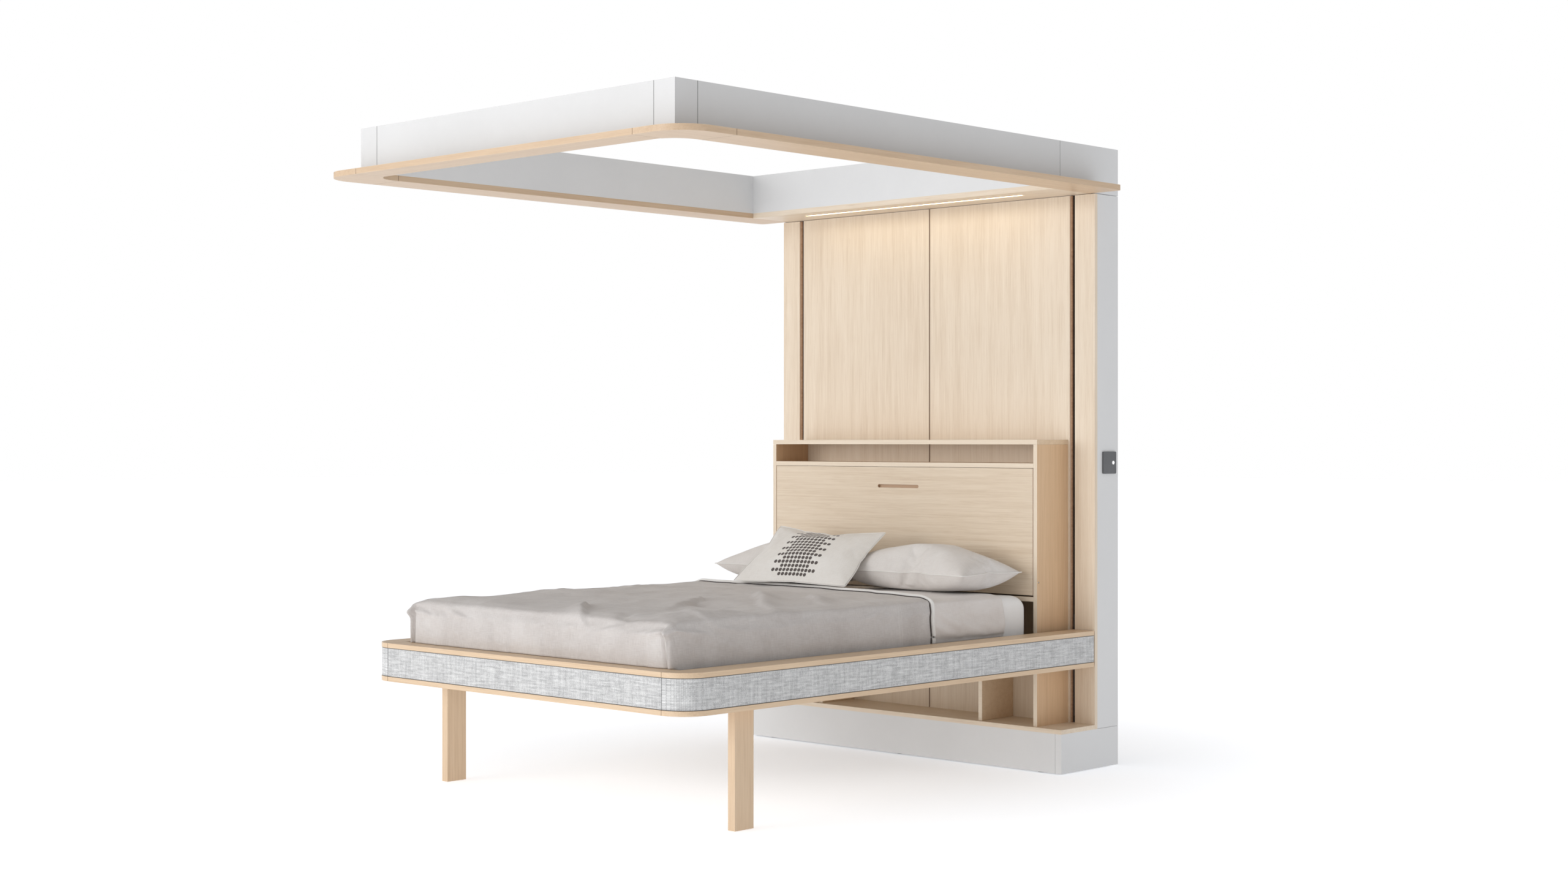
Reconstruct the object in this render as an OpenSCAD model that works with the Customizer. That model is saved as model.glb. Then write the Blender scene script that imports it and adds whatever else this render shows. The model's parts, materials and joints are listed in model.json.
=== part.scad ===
/* [Wall unit] */
// Overall width across the two side panels
unit_w = 1680; // [1640:10:1760]
// Overall height, floor to the top of the ceiling box
unit_h = 2438; // [2420:1:2500]
// Distance from the wall to the face of the upright wood panels
column_d = 155; // [150:1:170]
// Height of the white base, floor to the underside of its wood top
base_h = 158; // [140:1:180]
// Distance from the wall to the front of the base
base_d = 375; // [370:1:400]
// Width of the wood strip outside each slot
stile_w = 96; // [90:1:100]
// Width of each vertical slot that a lifting arm runs in
slot_w = 25; // [25:1:28]

/* [Headboard cabinet] */
// Width of the headboard cabinet
cab_w = 1422; // [1380:2:1422]
// Distance from the wall to the front of the cabinet
cab_d = 357; // [340:1:357]
// Height of the cabinet top above the floor
cab_top = 1290; // [1200:5:1400]
// Clear height of the long open slot under the cabinet top
slot_shelf_h = 74; // [60:1:100]
// Height of the lower edge of the drop-front flap
flap_z = 684; // [684:1:700]
// Height of the top of the middle book shelf
book_shelf_z = 433; // [400:1:450]
// Distance of each book divider from the centre line
divider_x = 430; // [350:5:500]

/* [Ceiling box] */
// Distance from the wall to the front of the white box
box_d = 2417; // [2417:1:2450]
// Thickness of the box walls
box_wall = 31; // [31:1:34]
// Thickness of the wood rim under the box
rim_t = 21; // [18:1:24]
// Overall width of the wood rim
rim_w = 1940; // [1900:10:2000]
// Distance from the wall to the front of the rim
rim_d = 2510; // [2490:5:2550]
// Outer corner radius of the rim
rim_r = 130; // [100:5:150]
// Radius of the front corners of the rim opening
opening_r = 100; // [60:5:120]
// Distance from the wall to the white header behind the opening
header_d = 381; // [381:1:384]

/* [Bed] */
// Distance from the wall to the foot of the bed frame
bed_d = 2376; // [2370:1:2378]
// Height of the underside of the bed frame when it is down
rail_z = 403; // [400:1:410]
// Height of the bed frame's upholstered rail
rail_h = 140; // [130:1:150]
// Width of the side rails and radius of the foot corners
rail_w = 105; // [100:1:106]
// Width of the foot rail
foot_rail_w = 84; // [80:1:86]
// Thickness of the wood strips above and below the fabric band
strip_t = 17; // [14:1:20]
// Number of slats under the mattress
slat_count = 12; // [8:1:16]

/* [Legs] */
// Thickness of a leg, across the bed
leg_t = 32; // [28:1:34]
// Width of a leg, along the bed
leg_w = 88; // [70:1:90]
// Distance from the wall to the leg hinge
leg_y = 2045; // [2000:5:2060]
// Height of the leg hinge above the floor
leg_z = 475; // [470:1:480]

/* [Bedding] */
// Mattress width
mattress_w = 1372; // [1320:2:1376]
// Mattress length
mattress_l = 1903; // [1880:1:1904]
// Height of the mattress top above the floor
mattress_top = 690; // [660:5:700]
// Pillow width across the bed
pillow_w = 630; // [560:10:640]
// Pillow depth along the bed
pillow_d = 352; // [320:1:356]
// Pillow thickness
pillow_h = 180; // [140:5:190]

/* [Hidden] */
$fn = 64;

// Colours
oak = [0.86, 0.74, 0.60];
oak_light = [0.90, 0.80, 0.67];
white = [0.90, 0.90, 0.91];
slot_brown = [0.25, 0.15, 0.11];
steel = [0.55, 0.57, 0.60];
dark_steel = [0.22, 0.23, 0.25];
black = [0.08, 0.08, 0.09];
woven_grey = [0.72, 0.73, 0.75];
linen = [0.74, 0.71, 0.69];
sheet_beige = [0.80, 0.76, 0.73];
cream = [0.92, 0.90, 0.87];

// The origin is on the floor under the middle of the whole object.
// Modules are written with y = 0 at the wall and the room at negative y.
wall_y = rim_d / 2;
half = unit_w / 2;
board = 18;
panel_t = 17;
seam = 1;
panel_gap = 3;
fit = 0.5;

// Wall unit
foot_h = 6;
plinth_top_z = base_h + 17;
panel_back = column_d - panel_t;
slot_out = half - stile_w;
slot_in = slot_out - slot_w;
rim_z = unit_h - 183;
box_z = rim_z + rim_t;
column_top = rim_z - 2;

// Steel structure in the column
belt_y = 85;
belt_x = 692;
belt_w = 21;
belt_t = 1.5;
pulley_r = 25;
running = 0.05;
shaft_r = 10;
shaft_z = unit_h - 78;
idler_z = 92;
idler_pin_r = 8;
channel_x0 = 748;
channel_x1 = 790;
channel_gap = 70;
channel_wall = 5;
upright_x = 815;
frame_bar = 40;
frame_z = 14;
beam_h = 146;

// Cabinet and flap
cab_half = cab_w / 2;
ledge_z = cab_top - board - slot_shelf_h - board;
flap_t = 18;
flap_half = cab_half - board - 3;
flap_top = ledge_z - 1.5;
hinge_z = flap_z + 51;
hinge_y = cab_d - 10;
flap_pin_r = 4;
pull_w = 220;
pull_h = 13;
pull_d = 12;
pull_z = 1100;
led_half = 585;
led_y = 280;

// Control plate on the right-hand side panel
plate_y = 63;
plate_z = 1200;
plate_size = 87;
button_y = 40;
button_r = 7;

// Bed
arm_x0 = slot_in + 6.5;
arm_x1 = slot_out - 6.5;
rail_top = rail_z + rail_h;
rail_in = half - rail_w;
foot_in = bed_d - foot_rail_w;
rail_end = column_d + 5;
corner_y = bed_d - rail_w;
foot_seam_x = 733;
roller_r = channel_gap / 2 - 0.3;
roller_low_z = 245;
roller_high_z = 555;
axle_r = 8;
slat_z = 434;
slat_t = 14;
head_y = 387;
beam_foot_y = foot_in + 12;
leg_x = 765;
leg_pin_r = 8;
mattress_z = slat_z + slat_t;
duvet_t = 22;
duvet_head = 900;
sheet_head = 545;
skirt_z = rail_top + 4;

module from_wall() translate([0, wall_y, 0]) children();
module both_sides() {
    children();
    mirror([1, 0, 0]) children();
}
// Box between two corners; y is given as distances from the wall
module block(x, y, z) translate([x[0], -y[1], z[0]])
    cube([x[1] - x[0], y[1] - y[0], z[1] - z[0]]);
// Rectangular tube along y (walls of thickness t)
module tube_y(x, y, z, t) difference() {
    block(x, y, z);
    block([x[0] + t, x[1] - t], [y[0] - 1, y[1] + 1], [z[0] + t, z[1] - t]);
}
module tube_x(x, y, z, t) difference() {
    block(x, y, z);
    block([x[0] - 1, x[1] + 1], [y[0] + t, y[1] - t], [z[0] + t, z[1] - t]);
}
module tube_z(x, y, z, t) difference() {
    block(x, y, z);
    block([x[0] + t, x[1] - t], [y[0] + t, y[1] - t], [z[0] - 1, z[1] + 1]);
}
// Round bar along x from x[0] to x[1]
module bar_x(x, y, z, r) translate([x[0], -y, z]) rotate([0, 90, 0]) cylinder(h = x[1] - x[0], r = r);
// Rectangle with round corners, from exact squares and circles
module round_rect(w, l, r) {
    square([w - 2 * r, l], center = true);
    square([w, l - 2 * r], center = true);
    for (sx = [-1, 1], sy = [-1, 1])
        translate([sx * (w / 2 - r), sy * (l / 2 - r)]) circle(r);
}

// ---------- base ----------
module base_front() color(white) from_wall()
    block([-half + 28 + seam, half - 28 - seam], [base_d - board, base_d], [foot_h, base_h]);

module base_sides() color(white) from_wall() both_sides() {
    block([half - board, half], [0, base_d], [foot_h, base_h]);
    block([half - 28, half], [base_d - board, base_d], [foot_h, base_h]);
}

module plinth_top() color(oak) from_wall()
    block([-half, half], [panel_back, base_d], [base_h, plinth_top_z]);

// Steel ladder frame inside the base, four separate bars
module base_frame() color(dark_steel) from_wall() {
    tube_x([-upright_x, upright_x], [310, 350], [frame_z, frame_z + frame_bar], 3);
    tube_x([-upright_x, upright_x], [20, 60], [frame_z, frame_z + frame_bar], 3);
    both_sides() tube_y([upright_x - frame_bar, upright_x], [60 + fit, 310 - fit],
        [frame_z, frame_z + frame_bar], 3);
}

module levelling_feet() color(black) from_wall()
    for (x = [-720, 0, 720], y = [40, 330]) translate([x, -y, 0]) {
        cylinder(h = 5, r = 20);
        cylinder(h = frame_z, r = 6);
    }

// ---------- column ----------
module side_panels() color(white) from_wall() both_sides()
    block([half - board, half], [0, panel_back], [base_h + seam, column_top]);

module stiles() color(oak) from_wall() both_sides()
    block([slot_out, half], [panel_back, column_d], [plinth_top_z, column_top]);

// Brush strips that close each slot around the lifting arm
module slot_brushes() color(slot_brown) from_wall() both_sides() {
    block([slot_in, slot_in + 6], [panel_back + 1, panel_back + 9], [plinth_top_z, column_top]);
    block([slot_out - 6, slot_out], [panel_back + 1, panel_back + 9], [plinth_top_z, column_top]);
}

// Two wood panels with a narrow seam, and the batten that backs the seam
module wall_panels() color(oak) from_wall() {
    both_sides() block([panel_gap / 2, slot_in], [panel_back, column_d], [plinth_top_z, column_top]);
    block([-30, 30], [panel_back - 13, panel_back - fit / 2], [plinth_top_z, column_top]);
}

module header_panels() color(white) from_wall() {
    block([-half + box_wall, half - box_wall], [header_d - 12, header_d], [box_z, unit_h]);
    both_sides() {
        block([half - 10, half], [0, header_d - seam / 2], [box_z + fit, unit_h]);
        block([half - 10, half], [0, column_d - fit], [rim_z, box_z + 1]);
    }
}

// ---------- ceiling box ----------
box_in = half - box_wall;
box_front_in = box_d - box_wall + 1;
box_seam_x = 742;
box_seam_y = box_d - 100;

module box_front() color(white) from_wall()
    block([-box_seam_x, box_seam_x], [box_d - 10, box_d], [box_z, unit_h]);

module box_sides() color(white) from_wall() both_sides()
    block([half - 10, half], [header_d + seam / 2, box_seam_y - seam / 2], [box_z, unit_h]);

module box_corners() color(white) from_wall() both_sides() {
    block([box_seam_x + seam, half], [box_d - 10, box_d], [box_z, unit_h]);
    block([half - 10, half], [box_seam_y + seam / 2, box_d], [box_z, unit_h]);
}

// Thin white lining of the bay that the bed rises into
module box_liners() color(white) from_wall() {
    block([-box_in, box_in], [box_front_in, box_front_in + 6], [box_z, unit_h]);
    both_sides() block([box_in, box_in + 6], [header_d, box_front_in - fit], [box_z, unit_h]);
}

// Hollow steel beams inside the box walls, carried by the uprights
module box_beams() color(steel) from_wall() {
    beam_z = [box_z + 8, box_z + 8 + beam_h];
    both_sides() tube_y([upright_x, upright_x + 14], [20, box_front_in + 5], beam_z, 2);
    tube_x([-upright_x + fit, upright_x - fit], [box_front_in + 6 + fit, box_d - 10 - fit], beam_z, 2);
}

// ---------- wood rim ----------
rim_half = rim_w / 2;
rim_seam_y = rim_d - 240;
rim_zz = [rim_z, box_z];
opening_d = box_front_in + 2;
opening_half = box_in + 2;

module rim_front() color(oak_light) from_wall()
    block([-box_seam_x, box_seam_x], [opening_d, rim_d], rim_zz);

module rim_sides() color(oak_light) from_wall() both_sides() {
    block([opening_half, rim_half], [header_d, rim_seam_y - seam / 2], rim_zz);
    block([opening_half, rim_half], [column_d + fit + 20, header_d + 1], rim_zz);
    block([opening_half, rim_half - 20], [column_d + fit, header_d], rim_zz);
    translate([rim_half - 20, -column_d - fit - 20, rim_z]) cylinder(h = rim_t, r = 20);
}

// Front corners: a square with one round outer corner, less the round-cornered opening
module rim_corners() color(oak_light) from_wall() both_sides() translate([0, 0, rim_z])
    linear_extrude(rim_t) difference() {
        union() {
            translate([box_seam_x + seam, -rim_d])
                square([rim_half - rim_r - box_seam_x - seam, rim_d - rim_seam_y - seam / 2]);
            translate([box_seam_x + seam, -rim_d + rim_r])
                square([rim_half - box_seam_x - seam, rim_d - rim_r - rim_seam_y - seam / 2]);
            translate([rim_half - rim_r, -rim_d + rim_r]) intersection() {
                circle(rim_r, $fn = 96);
                translate([0, -rim_r]) square(rim_r);
            }
        }
        translate([0, -opening_d + opening_r]) square([opening_half, 400]);
        translate([0, -opening_d]) square([opening_half - opening_r, 500]);
        translate([opening_half - opening_r, -opening_d + opening_r]) circle(opening_r, $fn = 96);
    }

// Rear part of the rim, under the header, with a groove for the light
module soffit() color(oak_light) from_wall() difference() {
    block([-opening_half + seam / 2, opening_half - seam / 2], [panel_back + 1, header_d], rim_zz);
    block([-led_half, led_half], [led_y - 12, led_y + 12], [rim_z - 1, rim_z + 12]);
}

module led_profile() color(steel) from_wall() difference() {
    block([-led_half + 1, led_half - 1], [led_y - 11.5, led_y + 11.5], [rim_z + 1, rim_z + 11.5]);
    block([-led_half, led_half], [led_y - 10, led_y + 10], [rim_z, rim_z + 10]);
}

module led_diffuser() color([1.0, 0.93, 0.78]) from_wall()
    block([-led_half + 2, led_half - 2], [led_y - 9.7, led_y + 9.7], [rim_z + 2, rim_z + 5]);

// ---------- headboard cabinet ----------
module cabinet_sides() color(oak) from_wall() difference() {
    both_sides() block([cab_half - board, cab_half], [column_d + fit, cab_d],
        [plinth_top_z, cab_top - board - fit]);
    both_sides() bar_x([cab_half - board - 1, cab_half + 1], hinge_y, hinge_z, flap_pin_r + running);
}

module cabinet_boards() color(oak) from_wall() {
    inner = cab_half - board - fit / 2;
    y = [column_d + fit, cab_d];
    low_z = [plinth_top_z + fit, book_shelf_z - board - fit];
    mid_z = [book_shelf_z + fit, flap_z - 24 - fit];
    block([-cab_half, cab_half], y, [cab_top - board, cab_top]);
    block([-inner, inner], y, [ledge_z, ledge_z + board]);
    block([-inner, inner], y, [flap_z - 24, flap_z - 6]);
    block([-inner, inner], y, [book_shelf_z - board, book_shelf_z]);
    both_sides() for (z = [low_z, mid_z])
        block([divider_x - board / 2, divider_x + board / 2], y, z);
    // rail that the inner lip of the open flap comes up against
    block([-inner, inner], [hinge_y - 50, hinge_y - 25], [hinge_z + 8.4, hinge_z + 28]);
}

module desk_flap() color(oak) from_wall() difference() {
    block([-flap_half, flap_half], [cab_d - flap_t, cab_d], [flap_z, flap_top]);
    translate([0, -cab_d - 1, pull_z]) rotate([-90, 0, 0]) linear_extrude(pull_d + 1) {
        square([pull_w - pull_h, pull_h], center = true);
        for (s = [-1, 1]) translate([s * (pull_w - pull_h) / 2, 0]) circle(pull_h / 2);
    }
    both_sides() bar_x([flap_half - 20, flap_half + 1], hinge_y, hinge_z, flap_pin_r);
}

module flap_pins() color(steel) from_wall() both_sides()
    bar_x([flap_half - 20, cab_half - 2], hinge_y, hinge_z, flap_pin_r);

// ---------- steel structure and lift drive ----------
module uprights() color(dark_steel) from_wall() both_sides() {
    block([690, upright_x], [18, 22], [frame_z + frame_bar, unit_h - 8]);
    tube_z([channel_x1 + 2, upright_x], [22, belt_y + 25], [frame_z + frame_bar, unit_h - 8], 3);
}

// C-shaped tracks, open towards the lifting arms
module guide_channels() color(steel) from_wall() both_sides() difference() {
    y0 = belt_y - channel_gap / 2;
    y1 = belt_y + channel_gap / 2;
    block([channel_x0, channel_x1], [y0 - channel_wall, y1 + channel_wall],
        [frame_z + frame_bar + 20, column_top]);
    block([channel_x0 - 1, channel_x1 - channel_wall], [y0, y1], [frame_z, column_top + 1]);
}

module top_beam() color(dark_steel) from_wall()
    tube_x([-channel_x1 - 1, channel_x1 + 1], [24, 54], [shaft_z - 70, shaft_z - 10], 3);

module bearing_blocks() color(steel) from_wall() difference() {
    both_sides() block([722, 742], [54, belt_y + 25], [shaft_z - 50, shaft_z + 25]);
    bar_x([-800, 800], belt_y, shaft_z, shaft_r + running);
}

// Worm gearbox around the cross shaft, with its motor beside it
module gearmotor() color(dark_steel) from_wall() difference() {
    union() {
        block([-45, 45], [54, 190], [shaft_z - 42, shaft_z + 42]);
        bar_x([-250, -45], 145, shaft_z, 38);
        bar_x([-262, -250], 145, shaft_z, 32);
        block([-190, -110], [125, 165], [shaft_z + 30, shaft_z + 52]);
    }
    bar_x([-60, 60], belt_y, shaft_z, shaft_r + running);
}

// Toothed belt loops over the pulleys and idlers
module lift_belts() color(black) from_wall() both_sides() translate([belt_x, -belt_y, 0])
    rotate([90, 0, 90]) linear_extrude(belt_w) difference() {
        belt_loop(pulley_r + 0.3 + belt_t);
        belt_loop(pulley_r + 0.3);
    }
module belt_loop(r) {
    for (z = [idler_z, shaft_z]) translate([0, z]) circle(r);
    translate([-r, idler_z]) square([2 * r, shaft_z - idler_z]);
}

// Plates on the rear bar of the base frame, each with the pin that an idler turns on
module idler_brackets() color(steel) from_wall() both_sides() {
    block([670, 686], [20, belt_y + 25], [frame_z + frame_bar, idler_z + 30]);
    bar_x([680, belt_x + belt_w + 4], belt_y, idler_z, idler_pin_r);
}

module drive_shaft() color(steel) from_wall()
    bar_x([-745, 745], belt_y, shaft_z, shaft_r);

module drive_pulleys() color(steel) from_wall() both_sides() difference() {
    union() {
        bar_x([belt_x, belt_x + belt_w], belt_y, shaft_z, pulley_r);
        bar_x([belt_x - 12, belt_x], belt_y, shaft_z, 18);
    }
    bar_x([belt_x - 20, belt_x + belt_w + 1], belt_y, shaft_z, shaft_r);
}

module idlers() color(steel) from_wall() both_sides() difference() {
    bar_x([belt_x, belt_x + belt_w], belt_y, idler_z, pulley_r);
    bar_x([belt_x - 1, belt_x + belt_w + 1], belt_y, idler_z, idler_pin_r + running);
}

module control_box() color(dark_steel) from_wall() {
    block([180, 420], [200, 330], [box_z, box_z + 60]);
    for (x = [200, 370]) block([x, x + 30], [195, 200], [box_z, box_z + 20]);
}

// Mains inlet on the rear bar of the base frame, its socket facing the middle
module power_inlet() color(black) from_wall() difference() {
    block([540, 600], [22, 58], [frame_z + frame_bar, frame_z + frame_bar + 40]);
    block([530, 558], [28, 52], [frame_z + frame_bar + 10, frame_z + frame_bar + 30]);
}

module control_plate() color(dark_steel) from_wall() difference() {
    translate([half, -plate_y, plate_z]) rotate([0, 90, 0])
        linear_extrude(6) round_rect(plate_size, plate_size, 6);
    bar_x([half + 2, half + 7], button_y, plate_z, button_r + 0.5);
}

module control_button() color(white) from_wall()
    bar_x([half + 3.8, half + 7], button_y, plate_z, button_r);

// Brackets behind the top beam; two bolt holes in each, above the beam
module wall_brackets() color(steel) from_wall() difference() {
    both_sides() {
        block([370, 430], [0, 6], [shaft_z - 70, unit_h - 10]);
        block([397, 403], [5, 24], [shaft_z - 65, shaft_z - 15]);
    }
    for (x = [-400, 400], z = [shaft_z + 10, shaft_z + 50])
        translate([x, 1, z]) rotate([90, 0, 0]) cylinder(h = 10, r = 5);
}

// ---------- bed: lifting carriages and steel frame ----------
// Plate that passes through the slot, with a roller axle at each end
module carriages() color(dark_steel) from_wall() both_sides() {
    block([arm_x0, arm_x1], [56, panel_back - 2], [200, 600]);
    block([arm_x0, arm_x1], [panel_back - 3, 200], [rail_z + 9, rail_top - strip_t - 3]);
    for (z = [roller_low_z, roller_high_z])
        bar_x([arm_x1 - 1, channel_x1 - channel_wall - 2], belt_y, z, axle_r);
}

module roller_pair(z) both_sides() difference() {
    bar_x([channel_x0 + 3, channel_x1 - channel_wall - 4], belt_y, z, roller_r);
    bar_x([channel_x0, channel_x1], belt_y, z, axle_r + running);
}
module upper_rollers() color(black) from_wall() roller_pair(roller_high_z);
module lower_rollers() color(black) from_wall() roller_pair(roller_low_z);

module side_beams() color(dark_steel) from_wall() both_sides() {
    block([arm_x0, arm_x1], [200 + fit, beam_foot_y], [rail_z + 9, rail_top - strip_t - 3]);
    block([700, arm_x0 + 1], [head_y, foot_in - 1], [slat_z - 6, slat_z]);
}

module cross_beams() color(dark_steel) from_wall() {
    tube_x([-arm_x0 + fit, arm_x0 - fit], [foot_in, beam_foot_y], [rail_z + 9, rail_top - strip_t - 23], 2);
    tube_x([-690, 690], [head_y - 14, head_y - 2], [rail_z + 6, rail_z + 40], 2);
    tube_x([-arm_x0 + fit, arm_x0 - fit], [belt_y - 14, belt_y + 14], [430, 490], 3);
    tube_y([-20, 20], [head_y, foot_in - fit], [rail_z + 1, slat_z - fit / 2], 2);
}

// Blocks on the rear cross tube that close round the front run of each belt
module belt_clamps() color(steel) from_wall() both_sides() difference() {
    block([belt_x - 6, belt_x + belt_w + 6], [belt_y + 14, belt_y + 36], [440, 480]);
    block([belt_x - 1, belt_x + belt_w + 1], [belt_y + 24.6, belt_y + 27.6], [439, 481]);
}

module slats() color(oak) from_wall() {
    pitch = (foot_in - head_y - 70) / (slat_count - 1);
    for (i = [0 : slat_count - 1])
        block([-722, 722], [head_y + 5 + i * pitch, head_y + 65 + i * pitch], [slat_z, slat_z + slat_t]);
}

// ---------- bed: upholstered rail ----------
// Plan of one side rail with its round foot corner, r_out from the corner centre
module side_rail_plan(x_in, out) {
    x_out = half - out;
    translate([x_in, -corner_y]) square([x_out - x_in, corner_y - rail_end]);
    translate([rail_in, -corner_y]) intersection() {
        circle(rail_w - out, $fn = 96);
        translate([0, -rail_w]) square(rail_w);
    }
    translate([foot_seam_x, -bed_d + out]) square([rail_in - foot_seam_x + 0.01, foot_rail_w - out]);
}

module bed_caps() color(oak_light) from_wall() {
    z = rail_top - strip_t;
    both_sides() translate([0, 0, z]) linear_extrude(strip_t) side_rail_plan(rail_in, 0);
    block([-foot_seam_x + seam, foot_seam_x - seam], [foot_in, bed_d], [z, rail_top]);
}

// Lower strips, open along the middle where the legs swing through
module bed_sills() color(oak_light) from_wall() {
    both_sides() difference() {
        translate([0, 0, rail_z]) linear_extrude(strip_t) side_rail_plan(arm_x1 + fit, 0);
        block([leg_x - leg_t / 2 - 2, leg_x + leg_t / 2 + 2], [leg_y - 485, leg_y + leg_w / 2 + 4],
            [rail_z - 1, rail_z + strip_t + 1]);
        block([arm_x0, arm_x1 + fit], [200, beam_foot_y + fit], [rail_z - 1, rail_z + strip_t + 1]);
    }
    block([-foot_seam_x + seam, foot_seam_x - seam], [beam_foot_y + fit, bed_d],
        [rail_z, rail_z + strip_t]);
}

// Fabric-covered boards between the strips
module bed_bands() color(woven_grey) from_wall() {
    z = [rail_z + strip_t + 1.5, rail_top - strip_t - 1.5];
    both_sides() translate([0, 0, z[0]]) linear_extrude(z[1] - z[0]) difference() {
        side_rail_plan(arm_x1 + 20, 1.5);
        translate([arm_x1, -corner_y]) square([half - 18 - arm_x1, corner_y]);
        translate([rail_in, -corner_y]) circle(rail_w - 18, $fn = 96);
        translate([foot_seam_x - 1, -bed_d + 18]) square([rail_in - foot_seam_x + 1, rail_w]);
    }
    block([-foot_seam_x + seam, foot_seam_x - seam], [bed_d - 18, bed_d - 1.5], z);
}

// ---------- bedding ----------
// Mattress: a closed cover with a light core left hollow
module mattress() color(cream) from_wall() difference() {
    translate([0, -head_y - mattress_l / 2, mattress_z]) linear_extrude(mattress_top - mattress_z)
        round_rect(mattress_w, mattress_l, 50);
    block([-mattress_w / 2 + 16, mattress_w / 2 - 16], [head_y + 16, head_y + mattress_l - 16],
        [mattress_z + 16, mattress_top - 16]);
}

// Cover that lies on the mattress and hangs down its sides to the rail
module cover(y0, y1, out, t) difference() {
    block([-mattress_w / 2 - out, mattress_w / 2 + out], [y0, y1], [skirt_z, mattress_top + t]);
    block([-mattress_w / 2 - 1, mattress_w / 2 + 1], [y0 - 1, min(y1 + 9, head_y + mattress_l + 1)],
        [skirt_z - 1, mattress_top + fit]);
}
module duvet() color(linen) from_wall() cover(duvet_head, head_y + mattress_l + 18, 20, duvet_t);
module top_sheet() color(sheet_beige) from_wall() cover(sheet_head, duvet_head - fit, 10, 8);

// Pillow: a lens-shaped bar, hollow like a filled case
module lens(d, h) {
    r = (d * d / 4 + h * h / 4) / h;
    intersection() {
        translate([0, r - h / 2]) circle(r, $fn = 128);
        translate([0, h / 2 - r]) circle(r, $fn = 128);
    }
}
module lens_bar(w, d, h, wall) rotate([90, 0, 90]) translate([0, 0, -w / 2]) difference() {
    linear_extrude(w) lens(d, h);
    translate([0, 0, wall]) linear_extrude(w - 2 * wall) lens(d - 4 * wall, h - 2 * wall);
}
module pillow_at(side, wall) translate([side * (pillow_w / 2 + 12), -head_y - pillow_d / 2 - 2,
    mattress_top + 9 + pillow_h / 2]) lens_bar(pillow_w, pillow_d, pillow_h, wall);
module pillow_left() color(sheet_beige) from_wall() pillow_at(-1, 12);
module pillow_right() color(sheet_beige) from_wall() pillow_at(1, 12);

// Accent cushion leaning on the pillows, its back following them
module accent_cushion() color(cream) from_wall() difference() {
    translate([-130, -745, 825]) rotate([36, 0, 4]) lens_bar(540, 340, 110, 10);
    for (s = [-1, 1]) translate([s * (pillow_w / 2 + 12), -head_y - pillow_d / 2 - 2,
        mattress_top + 9 + pillow_h / 2]) rotate([90, 0, 90]) translate([0, 0, -pillow_w / 2 - 1])
        linear_extrude(pillow_w + 2) lens(pillow_d + 4, pillow_h + 2);
    block([-800, 800], [500, 1000], [600, mattress_top + 10]);
}

// ---------- legs ----------
module leg(side) translate([side * leg_x - leg_t / 2, 0, 0]) difference() {
    union() {
        block([0, leg_t], [leg_y - leg_w / 2, leg_y + leg_w / 2], [0, leg_z]);
        bar_x([0, leg_t], leg_y, leg_z, leg_w / 2);
    }
    bar_x([-1, leg_t + 1], leg_y, leg_z, leg_pin_r + running);
}
module leg_left() color(oak) from_wall() leg(-1);
module leg_right() color(oak) from_wall() leg(1);

module leg_pins() color(steel) from_wall() both_sides()
    bar_x([arm_x1, leg_x + leg_t / 2 + 22], leg_y, leg_z, leg_pin_r);

// Small gearmotors that turn the legs, at the outer ends of the pins
module leg_drives() color(dark_steel) from_wall() both_sides() difference() {
    block([leg_x + leg_t / 2 + 4, half - 20], [leg_y - 60, leg_y + 30], [leg_z - 32, leg_z + 32]);
    bar_x([leg_x, leg_x + leg_t / 2 + 22.5], leg_y, leg_z, leg_pin_r);
}

base_front();
base_sides();
plinth_top();
base_frame();
levelling_feet();
side_panels();
stiles();
slot_brushes();
wall_panels();
header_panels();
box_front();
box_sides();
box_corners();
box_liners();
box_beams();
rim_front();
rim_sides();
rim_corners();
soffit();
led_profile();
led_diffuser();
cabinet_sides();
cabinet_boards();
uprights();
guide_channels();
top_beam();
bearing_blocks();
gearmotor();
lift_belts();
idler_brackets();
control_box();
power_inlet();
control_plate();
wall_brackets();
drive_shaft();
drive_pulleys();
idlers();
control_button();
desk_flap();
flap_pins();
carriages();
upper_rollers();
lower_rollers();
side_beams();
cross_beams();
belt_clamps();
slats();
bed_caps();
bed_sills();
bed_bands();
mattress();
duvet();
top_sheet();
pillow_left();
pillow_right();
accent_cushion();
leg_left();
leg_right();
leg_pins();
leg_drives();
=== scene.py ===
"""Looks of the lift-up wall bed: materials for every CAD node, soft goods, floor, light and camera.

Row frame in metres: the wall plane is at the largest y, the room is towards -y, the floor at z = 0.
"""

import json
import math

import bpy
import numpy as np
from mathutils import Matrix, Vector, noise


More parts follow.
